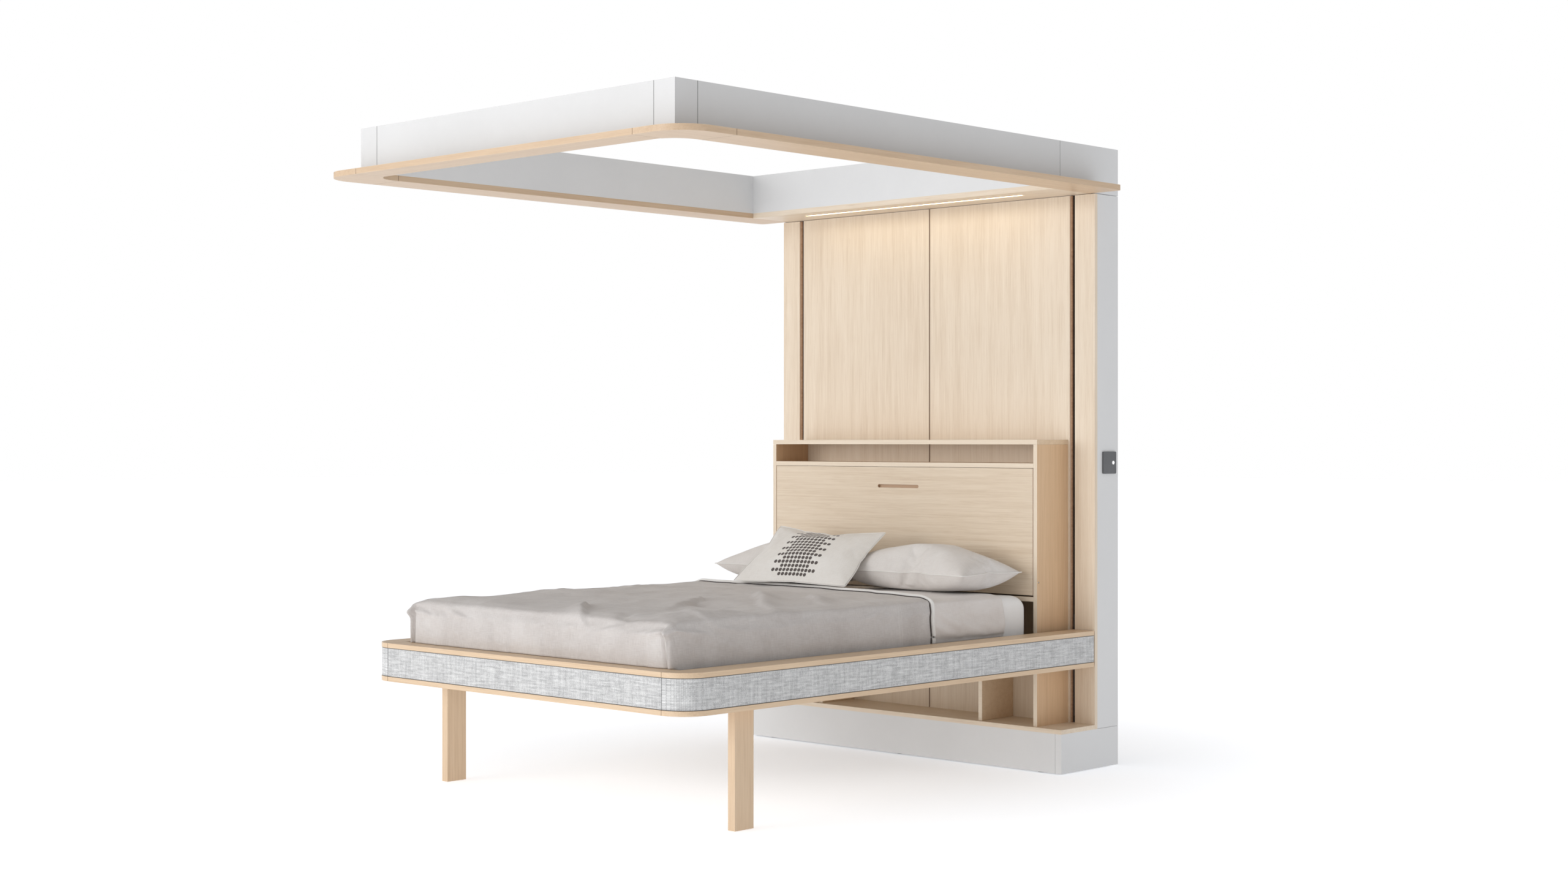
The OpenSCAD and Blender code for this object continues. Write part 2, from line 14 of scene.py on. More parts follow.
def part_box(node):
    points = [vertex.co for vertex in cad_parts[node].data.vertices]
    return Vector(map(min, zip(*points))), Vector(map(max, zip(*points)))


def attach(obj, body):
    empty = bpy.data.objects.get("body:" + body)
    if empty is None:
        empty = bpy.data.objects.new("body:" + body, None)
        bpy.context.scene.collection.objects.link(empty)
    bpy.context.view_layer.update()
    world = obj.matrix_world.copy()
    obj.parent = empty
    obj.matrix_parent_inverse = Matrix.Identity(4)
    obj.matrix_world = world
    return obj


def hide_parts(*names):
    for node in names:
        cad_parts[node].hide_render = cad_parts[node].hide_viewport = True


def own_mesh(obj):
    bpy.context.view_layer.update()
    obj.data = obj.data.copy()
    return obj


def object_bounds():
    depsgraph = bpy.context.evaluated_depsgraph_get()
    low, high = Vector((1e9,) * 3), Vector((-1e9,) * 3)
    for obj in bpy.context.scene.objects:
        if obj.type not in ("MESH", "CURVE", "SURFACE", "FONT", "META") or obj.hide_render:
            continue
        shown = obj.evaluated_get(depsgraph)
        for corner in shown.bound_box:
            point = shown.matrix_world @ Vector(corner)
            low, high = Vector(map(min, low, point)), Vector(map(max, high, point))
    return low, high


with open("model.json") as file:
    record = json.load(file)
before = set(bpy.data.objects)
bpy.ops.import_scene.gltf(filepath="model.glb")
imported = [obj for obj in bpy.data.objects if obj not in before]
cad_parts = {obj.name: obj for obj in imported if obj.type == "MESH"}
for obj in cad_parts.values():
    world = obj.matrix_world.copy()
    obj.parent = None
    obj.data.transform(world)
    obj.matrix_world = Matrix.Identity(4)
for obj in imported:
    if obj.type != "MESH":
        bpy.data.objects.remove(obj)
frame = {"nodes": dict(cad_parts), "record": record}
CAD_LO, CAD_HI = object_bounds()
WALL = CAD_HI.y
SLOT_OF = {s["node"]: s["material_slot"] for s in frame["record"]["subparts"]}


# ---------------------------------------------------------------- materials


class Mat:
    """A material under construction, with short helpers for its nodes."""

    def __init__(self, name, **shader):
        self.m = bpy.data.materials.new(name)
        self.m.use_nodes = True
        self.t = self.m.node_tree
        self.t.nodes.clear()
        out = self.node("ShaderNodeOutputMaterial")
        self.bsdf = self.node("ShaderNodeBsdfPrincipled")
        for key, value in shader.items():
            self.bsdf.inputs[key.replace("_", " ")].default_value = value
        self.t.links.new(self.bsdf.outputs[0], out.inputs[0])
        self.xyz = self.node("ShaderNodeTexCoord").outputs["Object"]

    def node(self, kind, **props):
        n = self.t.nodes.new(kind)
        for key, value in props.items():
            setattr(n, key, value)
        return n

    def put(self, socket, value):
        if isinstance(value, bpy.types.NodeSocket):
            self.t.links.new(value, socket)
        else:
            socket.default_value = value

    def math(self, op, *values, clamp=False):
        n = self.node("ShaderNodeMath", operation=op, use_clamp=clamp)
        for socket, value in zip(n.inputs, values):
            self.put(socket, value)
        return n.outputs[0]

    def blend(self, a, share_a, b, share_b):
        """a times its share plus b times its share."""
        return self.math("ADD", self.math("MULTIPLY", a, share_a), self.math("MULTIPLY", b, share_b))

    def scaled(self, vector, scale):
        n = self.node("ShaderNodeVectorMath", operation="MULTIPLY")
        self.put(n.inputs[0], vector)
        n.inputs[1].default_value = scale
        return n.outputs[0]

    def split(self, vector):
        n = self.node("ShaderNodeSeparateXYZ")
        self.put(n.inputs[0], vector)
        return n.outputs

    def joined(self, x, y, z):
        n = self.node("ShaderNodeCombineXYZ")
        for socket, value in zip(n.inputs, (x, y, z)):
            self.put(socket, value)
        return n.outputs[0]

    def noise(self, vector, scale, detail=2.0, rough=0.5, bend=0.0):
        n = self.node("ShaderNodeTexNoise")
        self.put(n.inputs["Vector"], vector)
        n.inputs["Scale"].default_value = scale
        n.inputs["Detail"].default_value = detail
        n.inputs["Roughness"].default_value = rough
        n.inputs["Distortion"].default_value = bend
        return n.outputs["Fac"]

    def ramp(self, factor, *stops):
        n = self.node("ShaderNodeValToRGB")
        self.put(n.inputs[0], factor)
        marks = n.color_ramp.elements
        while len(marks) < len(stops):
            marks.new(0.5)
        for mark, (place, colour) in zip(marks, stops):
            mark.position = place
            mark.color = (*colour, 1.0)
        return n.outputs[0]

    def levels(self, factor, low, high, to_low=0.0, to_high=1.0):
        n = self.node("ShaderNodeMapRange")
        for socket, value in zip(n.inputs, (factor, low, high, to_low, to_high)):
            self.put(socket, value)
        return n.outputs[0]

    def mix(self, factor, a, b, how="MIX"):
        n = self.node("ShaderNodeMix", data_type="RGBA", blend_type=how)
        self.put(n.inputs[0], factor)
        for socket, value in ((n.inputs[6], a), (n.inputs[7], b)):
            self.put(socket, (*value, 1.0) if isinstance(value, tuple) else value)
        return n.outputs[2]

    def mix_vector(self, factor, a, b):
        n = self.node("ShaderNodeMix", data_type="VECTOR")
        self.put(n.inputs[0], factor)
        self.put(n.inputs[4], a)
        self.put(n.inputs[5], b)
        return n.outputs[1]

    def bump(self, height, strength, distance, under=None):
        n = self.node("ShaderNodeBump")
        self.put(n.inputs["Height"], height)
        n.inputs["Strength"].default_value = strength
        n.inputs["Distance"].default_value = distance
        if under is not None:
            self.put(n.inputs["Normal"], under)
        return n.outputs[0]

    def finish(self, colour, rough=None, normal=None):
        self.put(self.bsdf.inputs["Base Color"], colour)
        if rough is not None:
            self.put(self.bsdf.inputs["Roughness"], rough)
        if normal is not None:
            self.put(self.bsdf.inputs["Normal"], normal)
        return self.m


FOOT_JOINT = 0.733  # |x| where the foot rail meets the round corners
RIM_TURN = 0.742  # |x| where the rim's grain turns from the front board to the side boards
ACROSS, ALONG = 1.0, 0.035
GRAIN = {
    "x": (ALONG, ACROSS, ACROSS),
    "y": (ACROSS, ALONG, ACROSS),
    "z": (ACROSS, ACROSS, ALONG),
}


def joint_lines(m, colour, joints, ink):
    """Dark hairlines where boards meet, at |x| or y of each (axis, place)."""
    x, y, _ = m.split(m.xyz)
    lines_at = None
    for axis, place in joints:
        near = m.math("COMPARE", m.math("ABSOLUTE", x) if axis == "x" else y, place, 0.0013)
        lines_at = near if lines_at is None else m.math("MAXIMUM", lines_at, near)
    return m.mix(m.math("MULTIPLY", lines_at, 0.8), colour, ink)


def oak(name, grain, tint=(1.0, 1.0, 1.0), seed=0.0, turn_at=None, plies=None, banded=False,
        joints=(), groove_shade=None):
    """Clear-lacquered light oak. grain is the axis it runs along; past |x| = turn_at it runs along y.
    plies gives the heights of the fine glue lines of a board edge, and banded sets paler banding
    on front edges. groove_shade paints the flap's finger groove darker, as painted shade."""
    m = Mat(name, Specular_IOR_Level=0.38, Coat_Weight=0.12, Coat_Roughness=0.38)
    shifted = m.node("ShaderNodeVectorMath", operation="ADD")
    m.put(shifted.inputs[0], m.xyz)
    shifted.inputs[1].default_value = (seed, seed * 0.7, seed * 1.3)
    base = shifted.outputs[0]
    run = m.scaled(base, GRAIN[grain])
    fine = m.scaled(base, tuple(g if g == ACROSS else 0.02 for g in GRAIN[grain]))
    if turn_at:
        side = m.math("GREATER_THAN", m.math("ABSOLUTE", m.split(m.xyz)[0]), turn_at)
        run = m.mix_vector(side, run, m.scaled(base, GRAIN["y"]))
        fine = m.mix_vector(side, fine, m.scaled(base, (1.0, 0.02, 1.0)))
    bands = m.noise(run, 46.0, 3.0, 0.6, 0.2)
    lines = m.noise(fine, 250.0, 4.0, 0.65)
    pores = m.noise(fine, 620.0, 1.0, 0.5)
    cloud = m.noise(base, 2.1, 2.0)
    tone = m.blend(bands, 0.34, lines, 0.50)
    tone = m.math("ADD", tone, m.math("MULTIPLY", cloud, 0.16))
    dark, middle, light = (
        tuple(c * t for c, t in zip(v, tint))
        for v in ((0.665, 0.535, 0.400), (0.770, 0.652, 0.515), (0.830, 0.725, 0.595))
    )
    colour = m.ramp(tone, (0.34, dark), (0.52, middle), (0.70, light))
    dash = m.levels(pores, 0.62, 0.74)
    colour = m.mix(m.math("MULTIPLY", dash, 0.26), colour, (0.50, 0.35, 0.22))
    if banded:
        facing = m.split(m.node("ShaderNodeTexCoord").outputs["Normal"])[1]
        band = m.math("LESS_THAN", facing, -0.9)
        pale = m.ramp(tone, (0.34, (0.72, 0.60, 0.46)), (0.70, (0.83, 0.72, 0.585)))
        colour = m.mix(band, colour, pale)
    if plies:
        z = m.split(m.xyz)[2]
        lines_at = None
        for height in plies:
            near = m.math("COMPARE", z, height, 0.0006)
            lines_at = near if lines_at is None else m.math("MAXIMUM", lines_at, near)
        colour = m.mix(m.math("MULTIPLY", lines_at, 0.4), colour, (0.50, 0.33, 0.20))
    if joints:
        colour = joint_lines(m, colour, joints, (0.30, 0.20, 0.13))
    if groove_shade:
        # painted shade: the inside of the flap's finger groove is darkened to a deep brown
        x, y, z = m.split(m.xyz)
        across = m.math("COMPARE", x, 0.0, groove_shade[0])
        inside = m.math("MULTIPLY", across, m.math("COMPARE", z, groove_shade[1], groove_shade[2]))
        inside = m.math("MULTIPLY", inside, m.math("COMPARE", y, groove_shade[3] + 0.0075, 0.0065))
        colour = m.mix(m.math("MULTIPLY", inside, 0.62), colour, (0.42, 0.22, 0.10))
    rough = m.levels(m.blend(lines, 0.5, cloud, 0.5), 0.3, 0.7, 0.38, 0.50)
    relief = m.math("SUBTRACT", m.math("MULTIPLY", lines, 0.6), m.math("MULTIPLY", dash, 0.7))
    return m.finish(colour, rough, m.bump(relief, 0.25, 0.0006))


def lacquer(name, colour, rough=0.36, grime=0.03, joints=()):
    """Satin sprayed lacquer with a faint orange peel and uneven sheen."""
    m = Mat(name, Specular_IOR_Level=0.45)
    peel = m.noise(m.xyz, 420.0, 2.0)
    cloud = m.noise(m.xyz, 3.2, 3.0, 0.6)
    dust = m.noise(m.xyz, 46.0, 4.0, 0.7)
    low = tuple(c * (1 - grime) for c in colour)
    tone = m.blend(cloud, 0.7, dust, 0.3)
    shade = m.ramp(tone, (0.35, low), (0.65, colour))
    if joints:
        shade = joint_lines(m, shade, joints, (0.11, 0.11, 0.11))
    gloss = m.levels(m.blend(cloud, 0.5, dust, 0.5), 0.35, 0.65, rough - 0.04, rough + 0.06)
    return m.finish(shade, gloss, m.bump(peel, 0.06, 0.0004))


def coated_metal(name, colour, rough=0.5, grit=900.0):
    """Powder coat: fine grit, convex edges a little lighter."""
    m = Mat(name, Specular_IOR_Level=0.5)
    grain = m.noise(m.xyz, grit, 2.0, 0.6)
    cloud = m.noise(m.xyz, 9.0, 4.0, 0.65)
    light = tuple(min(1.0, c * 1.35 + 0.01) for c in colour)
    shade = m.ramp(m.blend(grain, 0.5, cloud, 0.5), (0.35, colour), (0.68, light))
    # convex edges, found by pointiness, are mixed a little lighter
    lighter_edges = m.levels(m.node("ShaderNodeNewGeometry").outputs["Pointiness"], 0.52, 0.60)
    shade = m.mix(m.math("MULTIPLY", lighter_edges, 0.35), shade, (0.33, 0.33, 0.34))
    gloss = m.levels(cloud, 0.3, 0.7, rough - 0.07, rough + 0.09)
    return m.finish(shade, gloss, m.bump(grain, 0.18, 0.0004))


def bare_metal(name, colour, along, rough=0.3):
    """Drawn or brushed metal with fine lines along one axis."""
    m = Mat(name, Metallic=1.0)
    streak = m.noise(m.scaled(m.xyz, GRAIN[along]), 700.0, 3.0, 0.6)
    smear = m.noise(m.xyz, 14.0, 4.0, 0.6)
    dim = tuple(c * 0.78 for c in colour)
    shade = m.ramp(m.blend(streak, 0.6, smear, 0.4), (0.34, dim), (0.66, colour))
    gloss = m.levels(smear, 0.3, 0.7, rough - 0.06, rough + 0.12)
    return m.finish(shade, gloss, m.bump(streak, 0.12, 0.0003))


def moulded(name, colour, rough=0.5, grit=1300.0, depth=0.14, **shader):
    """Moulded plastic or rubber with a fine eroded skin."""
    m = Mat(name, **shader)
    skin = m.noise(m.xyz, grit, 2.0, 0.6)
    cloud = m.noise(m.xyz, 18.0, 3.0, 0.6)
    light = tuple(min(1.0, c * 1.22 + 0.006) for c in colour)
    shade = m.ramp(m.blend(skin, 0.35, cloud, 0.65), (0.34, colour), (0.68, light))
    gloss = m.levels(cloud, 0.3, 0.7, rough - 0.05, rough + 0.07)
    return m.finish(shade, gloss, m.bump(skin, depth, 0.0004))


def brush_strip(name):
    """Dark brown bristles standing out of the column's slots, fine strokes across the slot."""
    m = Mat(name, Roughness=0.8, Specular_IOR_Level=0.2)
    strand = m.noise(m.scaled(m.xyz, (0.05, 0.3, 1.0)), 1500.0, 2.0, 0.6)
    tuft = m.noise(m.scaled(m.xyz, (0.1, 0.2, 1.0)), 160.0, 2.0)
    browns = (0.32, (0.36, 0.205, 0.125)), (0.55, (0.52, 0.325, 0.205)), (0.72, (0.62, 0.42, 0.28))
    shade = m.ramp(m.blend(strand, 0.6, tuft, 0.4), *browns)
    return m.finish(shade, 0.8, m.bump(strand, 0.5, 0.0012))


def threads(m, s, t, pitch, slub_s, slub_t):
    """Plain weave on the two running lengths s and t: the height and the tone of the top thread."""
    a, b = m.math("DIVIDE", s, pitch), m.math("DIVIDE", t, pitch)
    step = m.math("ADD", m.math("FLOOR", a), m.math("FLOOR", b))
    over = m.math("ABSOLUTE", m.math("MODULO", step, 2.0))
    hump_b = m.math("ABSOLUTE", m.math("SINE", m.math("MULTIPLY", b, math.pi)))
    hump_a = m.math("ABSOLUTE", m.math("SINE", m.math("MULTIPLY", a, math.pi)))
    under = m.math("SUBTRACT", 1.0, over)
    height = m.blend(over, hump_b, under, hump_a)
    weft = m.noise(m.joined(m.math("MULTIPLY", a, slub_s), m.math("FLOOR", b), 3.0), 1.0, 3.0, 0.6)
    warp = m.noise(m.joined(m.math("FLOOR", a), m.math("MULTIPLY", b, slub_t), 8.0), 1.0, 3.0, 0.6)
    tone = m.blend(over, weft, under, warp)
    return height, tone


def basket_weave(name):
    """Heathered light grey upholstery on the bed's band, its thick and thin yarns seen as streaks."""
    m = Mat(name, Roughness=0.9, Specular_IOR_Level=0.15, Sheen_Weight=0.25, Sheen_Roughness=0.5)
    x, y, z = m.split(m.xyz)
    side = m.math("GREATER_THAN", m.math("ABSOLUTE", x), FOOT_JOINT)
    along = m.math("ADD", m.math("MULTIPLY", side, y), m.math("MULTIPLY", m.math("SUBTRACT", 1.0, side), x))
    bent = m.math("ADD", z, m.math("MULTIPLY", m.math("SUBTRACT", m.noise(m.xyz, 16.0, 2.0), 0.5), 0.005))
    height, tone = threads(m, along, bent, 0.0044, 0.08, 0.25)
    streak = m.noise(m.joined(m.math("MULTIPLY", along, 0.07), bent, 0.0), 150.0, 3.0, 0.6)
    upright = m.noise(m.joined(along, m.math("MULTIPLY", bent, 0.10), 7.0), 95.0, 3.0, 0.6)
    value = m.blend(tone, 0.40, streak, 0.36)
    value = m.math("ADD", value, m.math("MULTIPLY", upright, 0.24))
    greys = (0.34, (0.34, 0.34, 0.342)), (0.46, (0.555, 0.555, 0.556))
    pales = (0.56, (0.742, 0.742, 0.739)), (0.68, (0.90, 0.90, 0.895))
    colour = m.ramp(value, *greys, *pales)
    # painted shade: the low parts between the threads are darkened
    gap_shade = m.levels(height, 0.10, 0.55, 0.60, 1.0)
    colour = m.mix(1.0, colour, m.joined(gap_shade, gap_shade, gap_shade), "MULTIPLY")
    seam = m.math("COMPARE", m.math("ABSOLUTE", x), FOOT_JOINT, 0.0013)
    colour = m.mix(m.math("MULTIPLY", seam, 0.90), colour, (0.07, 0.07, 0.07))
    # painted shadow: dark lines along the band's top and bottom edges, where the gaps to the wood strips lie in
    # shade
    band_lo, band_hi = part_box("bed_bands")
    gap_shadow_lines = m.math("MAXIMUM", m.math("COMPARE", z, band_lo.z, 0.0016), m.math("COMPARE", z, band_hi.z, 0.0016))
    colour = m.mix(m.math("MULTIPLY", gap_shadow_lines, 0.55), colour, (0.09, 0.09, 0.09))
    return m.finish(colour, 0.9, m.bump(height, 0.55, 0.0012))


def linen(name, dark, middle, light, pitch=0.0016, slub=0.5, sheen=0.2, pattern=None):
    """Washed linen or cotton on a piece's own flat cloth lengths, with slubs both ways and soft creasing."""
    m = Mat(name, Roughness=0.88, Specular_IOR_Level=0.18, Sheen_Weight=sheen, Sheen_Roughness=0.45)
    flat = m.node("ShaderNodeAttribute", attribute_name="flat", attribute_type="GEOMETRY").outputs["Vector"]
    u, v, _ = m.split(flat)
    height, tone = threads(m, u, v, pitch, 0.06, 0.06)
    weft = m.noise(m.joined(m.math("MULTIPLY", u, 0.06), v, 1.0), 420.0, 3.0, 0.65)
    warp = m.noise(m.joined(u, m.math("MULTIPLY", v, 0.06), 5.0), 420.0, 3.0, 0.65)
    cloud = m.noise(flat, 5.5, 3.0, 0.6)
    yarn = m.blend(weft, 0.5, warp, 0.5)
    value = m.blend(yarn, slub, tone, 0.25)
    value = m.math("ADD", value, m.math("MULTIPLY", cloud, 0.75 - slub))
    colour = m.ramp(value, (0.36, dark), (0.50, middle), (0.64, light))
    if pattern:
        colour = pattern(m, u, v, colour)
    crease = m.noise(flat, 26.0, 5.0, 0.62, 0.4)
    soft = m.bump(crease, 0.16, 0.006)
    fine = m.bump(m.blend(height, 0.5, yarn, 0.8), 0.35, 0.0007, soft)
    return m.finish(colour, m.levels(cloud, 0.3, 0.7, 0.82, 0.94), fine)


def dot_rows(m, u, v, ground):
    """Generic woven band of round dots, one long row and one short row in turn."""
    pitch = 0.0190
    across = m.math("DIVIDE", u, pitch)
    down = m.math("ADD", m.math("DIVIDE", v, pitch), 0.5)
    row = m.math("FLOOR", down)
    fx = m.math("SUBTRACT", m.math("FRACT", across), 0.5)
    fy = m.math("SUBTRACT", m.math("FRACT", down), 0.5)
    away = m.math("SQRT", m.math("ADD", m.math("MULTIPLY", fx, fx), m.math("MULTIPLY", fy, fy)))
    dot = m.math("SUBTRACT", 1.0, m.levels(away, 0.38, 0.46))
    column = m.math("ABSOLUTE", m.math("ADD", m.math("FLOOR", across), 0.5))
    reach = m.math("MULTIPLY_ADD", m.math("PINGPONG", row, 1.0), 2.0, 4.0)
    inside = m.math("LESS_THAN", column, reach)
    tall = m.math("LESS_THAN", m.math("ABSOLUTE", row), 8.5)
    ink = m.math("MULTIPLY", m.math("MULTIPLY", dot, inside), m.math("MULTIPLY", tall, 0.93))
    return m.mix(ink, ground, (0.062, 0.046, 0.042))


def hemmed(m, u, v, ground):
    """The duvet's stitched head cuff. The third cloth length is the way from the head edge."""
    lengths = m.node("ShaderNodeAttribute", attribute_name="flat", attribute_type="GEOMETRY")
    away = m.split(lengths.outputs["Vector"])[2]
    line = m.math("MAXIMUM", m.math("COMPARE", away, 0.172, 0.0011), m.math("COMPARE", away, 0.186, 0.0011))
    return m.mix(m.math("MULTIPLY", line, 0.35), ground, (0.80, 0.77, 0.74))


def glow(name):
    """Warm opal strip lamp cover: faintly mottled, a little brighter over each diode."""
    m = Mat(name, Roughness=0.45, Emission_Strength=6.2)
    x = m.split(m.xyz)[0]
    beat = m.math("MULTIPLY_ADD", m.math("SINE", m.math("MULTIPLY", x, 2 * math.pi / 0.0166)), 0.5, 0.5)
    mottle = m.noise(m.xyz, 300.0, 2.0)
    tone = m.blend(beat, 0.5, mottle, 0.5)
    colour = m.ramp(tone, (0.2, (0.92, 0.77, 0.46)), (0.8, (0.95, 0.84, 0.58)))
    m.put(m.bsdf.inputs["Emission Color"], colour)
    return m.finish((0.95, 0.9, 0.8, 1.0), 0.45, m.bump(mottle, 0.05, 0.0003))


rim_lo, rim_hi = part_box("rim_sides")
rim_front_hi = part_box("rim_front")[1]
GROOVE_SHADE = (0.16, 1.100, 0.0080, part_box("desk_flap")[0].y)  # half length, height, half height, face of the flap: the finger groove, painted darker as shade
box_side_lo, box_side_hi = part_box("box_sides")
box_joints = [("x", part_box("box_front")[1].x), ("y", box_side_lo.y), ("y", box_side_hi.y)]
PLIES = [rim_lo.z + (rim_hi.z - rim_lo.z) * s for s in (0.22, 0.42, 0.62, 0.82)]

veneer = {
    "z": oak("oak_upright", "z", joints=[("x", 0.0024)]),
    "x": oak("oak_level", "x", seed=3.1),
    "flap": oak("oak_flap", "x", tint=(0.93, 0.915, 0.89), seed=9.4, groove_shade=GROOVE_SHADE),
    # painted shade: the cabinet's oak is made darker and more orange to stand in for warm bounce light in its
    # shaded insides
    "cabinet": oak("oak_cabinet_painted_shade", "z", tint=(0.903, 0.728, 0.558), seed=12.6, banded=True),
    "board": oak("oak_board", "x", tint=(0.955, 0.865, 0.755), seed=4.4, banded=True),
    "rail": oak("oak_rail", "x", tint=(0.918, 0.815, 0.70), seed=1.9, turn_at=FOOT_JOINT,
                joints=[("x", FOOT_JOINT)]),
    "rim": oak("oak_rim", "x", tint=(0.83, 0.732, 0.635), seed=7.7, turn_at=RIM_TURN, plies=PLIES,
               joints=[("x", rim_front_hi.x), ("y", rim_lo.y)]),
    "leg": oak("oak_leg", "z", tint=(0.885, 0.785, 0.68), seed=15.2),
}
OAK_OF = {
    "wall_panels": "z",
    "stiles": "z",
    "plinth_top": "x",
    "soffit": "x",
    "rim_front": "rim",
    "rim_sides": "rim",
    "rim_corners": "rim",
    "cabinet_sides": "cabinet",
    "cabinet_boards": "board",
    "desk_flap": "flap",
    "bed_caps": "rail",
    "bed_sills": "rail",
    "slats": "x",
    "leg_left": "leg",
    "leg_right": "leg",
}
finish_of_slot = {
    "oak_veneer": veneer["x"],
    "oak_edge": veneer["x"],
    "white_lacquer": lacquer("white_lacquer", (0.725, 0.725, 0.725)),
    "box_lacquer": lacquer("box_lacquer", (0.715, 0.715, 0.715), joints=box_joints),
    "slot_brush": brush_strip("slot_brush"),
    "frame_steel": coated_metal("frame_steel", (0.030, 0.032, 0.036)),
    "track_alloy": bare_metal("track_alloy", (0.72, 0.73, 0.75), "z", 0.34),
    "bright_steel": bare_metal("bright_steel", (0.62, 0.63, 0.65), "x", 0.26),
    "black_rubber": moulded("black_rubber", (0.018, 0.018, 0.020), 0.72, 900.0, 0.25, Specular_IOR_Level=0.3),
    "motor_paint": coated_metal("motor_paint", (0.018, 0.019, 0.023), 0.42, 500.0),
    "control_case": moulded("control_case", (0.045, 0.046, 0.050), 0.5),
    "control_face": moulded("control_face", (0.075, 0.077, 0.083), 0.22, 800.0, 0.03,
                            Coat_Weight=0.5, Coat_Roughness=0.08),
    "button_white": moulded("button_white", (0.80, 0.80, 0.80), 0.3, 700.0, 0.04,
                            Emission_Strength=0.35, Emission_Color=(1.0, 1.0, 1.0, 1.0)),
    "led_lens": glow("led_lens"),
    "woven_grey": basket_weave("woven_grey"),
    "ticking": linen("fitted_sheet", (0.86, 0.845, 0.83), (0.915, 0.90, 0.885), (0.94, 0.925, 0.91),
                     slub=0.3, sheen=0.1),
    "duvet_linen": linen("duvet_linen", (0.505, 0.462, 0.438), (0.61, 0.574, 0.553), (0.71, 0.682, 0.664),
                         slub=0.5, pattern=hemmed),
    "sheet_linen": linen("sheet_linen", (0.69, 0.635, 0.60), (0.775, 0.73, 0.70), (0.83, 0.79, 0.765),
                         slub=0.45),
    "cushion_cotton": linen("cushion_cotton", (0.70, 0.66, 0.61), (0.80, 0.77, 0.73), (0.86, 0.84, 0.81),
                            pitch=0.0022, slub=0.4, pattern=dot_rows),
}
pillow_finish = linen("pillow_linen", (0.66, 0.62, 0.59), (0.76, 0.725, 0.695), (0.82, 0.79, 0.765),
                      slub=0.45)
# near-black cloth for the thin dark line along the duvet's head edge
dark_line_finish = linen("dark_edge_line", (0.035, 0.028, 0.026), (0.06, 0.05, 0.047), (0.10, 0.085, 0.08),
                      slub=0.4, sheen=0.05)
seam_finish = linen("seam_thread", (0.76, 0.73, 0.70), (0.84, 0.82, 0.79), (0.88, 0.865, 0.845), slub=0.4)

for name, obj in frame["nodes"].items():
    chosen = veneer[OAK_OF[name]] if name in OAK_OF else finish_of_slot[SLOT_OF[name]]
    if name in ("box_front", "box_sides", "box_corners"):
        chosen = finish_of_slot["box_lacquer"]
    obj.data.materials.clear()
    obj.data.materials.append(chosen)


# ---------------------------------------------------------------- soft goods


def mesh_object(name, points, faces, flat, finish, smooth=True):
    mesh = bpy.data.meshes.new(name)
    mesh.from_pydata([tuple(p) for p in points], [], faces)
    mesh.validate()
    obj = bpy.data.objects.new(name, mesh)
    bpy.context.scene.collection.objects.link(obj)
    layer = mesh.attributes.new("flat", "FLOAT_VECTOR", "POINT")
    layer.data.foreach_set("vector", np.asarray(flat, np.float32).ravel())
    mesh.materials.append(finish)
    mesh.polygons.foreach_set("use_smooth", [smooth] * len(mesh.polygons))
    return obj


def points_of(obj):
    co = np.empty(len(obj.data.vertices) * 3, np.float32)
    obj.data.vertices.foreach_get("co", co)
    return co.reshape(-1, 3).astype(float)


def set_points(obj, co):
    obj.data.vertices.foreach_set("co", np.asarray(co, np.float32).ravel())
    obj.data.update()


def wave(points, size, seed):
    """Smooth seeded noise from -1 to 1 at each point."""
    return np.array([noise.noise(Vector(p) / size + Vector((seed, seed * 1.7, -seed))) for p in points])


def step(x, a, b):
    t = np.clip((np.asarray(x, float) - a) / (b - a), 0.0, 1.0)
    return t * t * (3 - 2 * t)


def box_shell(x0, x1, y0, y1, z0, z1, radius, pitch, closed):
    """A rounded box surface, y1 being its head end. Closed, or open at the head end and below.
    Returns points, faces and each point's place on the unfolded cloth."""
    nx = max(8, round((x1 - x0) / pitch))
    ny = max(8, round((y1 - y0) / pitch))
    nz = max(4, round((z1 - z0) / pitch))
    xs, ys, zs = np.linspace(x0, x1, nx + 1), np.linspace(y0, y1, ny + 1), np.linspace(z0, z1, nz + 1)
    index, points, flat, faces = {}, [], [], []

    def at(i, j, k):
        key = (i, j, k)
        if key not in index:
            index[key] = len(points)
            drop = z1 - zs[k]
            u, v = xs[i], ys[j]
            if i == 0:
                u -= drop
            elif i == nx:
                u += drop
            elif j == 0:
                v -= drop
            elif j == ny:
                v += drop
            points.append((xs[i], ys[j], zs[k]))
            flat.append((u, v, 0.0))
        return index[key]

    for i in range(nx):
        for j in range(ny):
            faces.append((at(i, j, nz), at(i + 1, j, nz), at(i + 1, j + 1, nz), at(i, j + 1, nz)))
            if closed:
                faces.append((at(i, j + 1, 0), at(i + 1, j + 1, 0), at(i + 1, j, 0), at(i, j, 0)))
    for j in range(ny):
        for k in range(nz):
            faces.append((at(0, j + 1, k), at(0, j, k), at(0, j, k + 1), at(0, j + 1, k + 1)))
            faces.append((at(nx, j, k), at(nx, j + 1, k), at(nx, j + 1, k + 1), at(nx, j, k + 1)))
    for i in range(nx):
        for k in range(nz):
            faces.append((at(i, 0, k), at(i + 1, 0, k), at(i + 1, 0, k + 1), at(i, 0, k + 1)))
            if closed:
                faces.append((at(i + 1, ny, k), at(i, ny, k), at(i, ny, k + 1), at(i + 1, ny, k + 1)))
    p = np.array(points)
    head = y1 - radius if closed else y1 + 1.0
    foot_z = z0 + radius if closed else z0 - 1.0
    lo, hi = np.array([x0 + radius, y0 + radius, foot_z]), np.array([x1 - radius, head, z1 - radius])
    core = np.clip(p, lo, hi)
    off = p - core
    length = np.linalg.norm(off, axis=1, keepdims=True)
    p = np.where(length > 1e-9, core + off / np.maximum(length, 1e-9) * radius, p)
    return p, faces, np.array(flat)


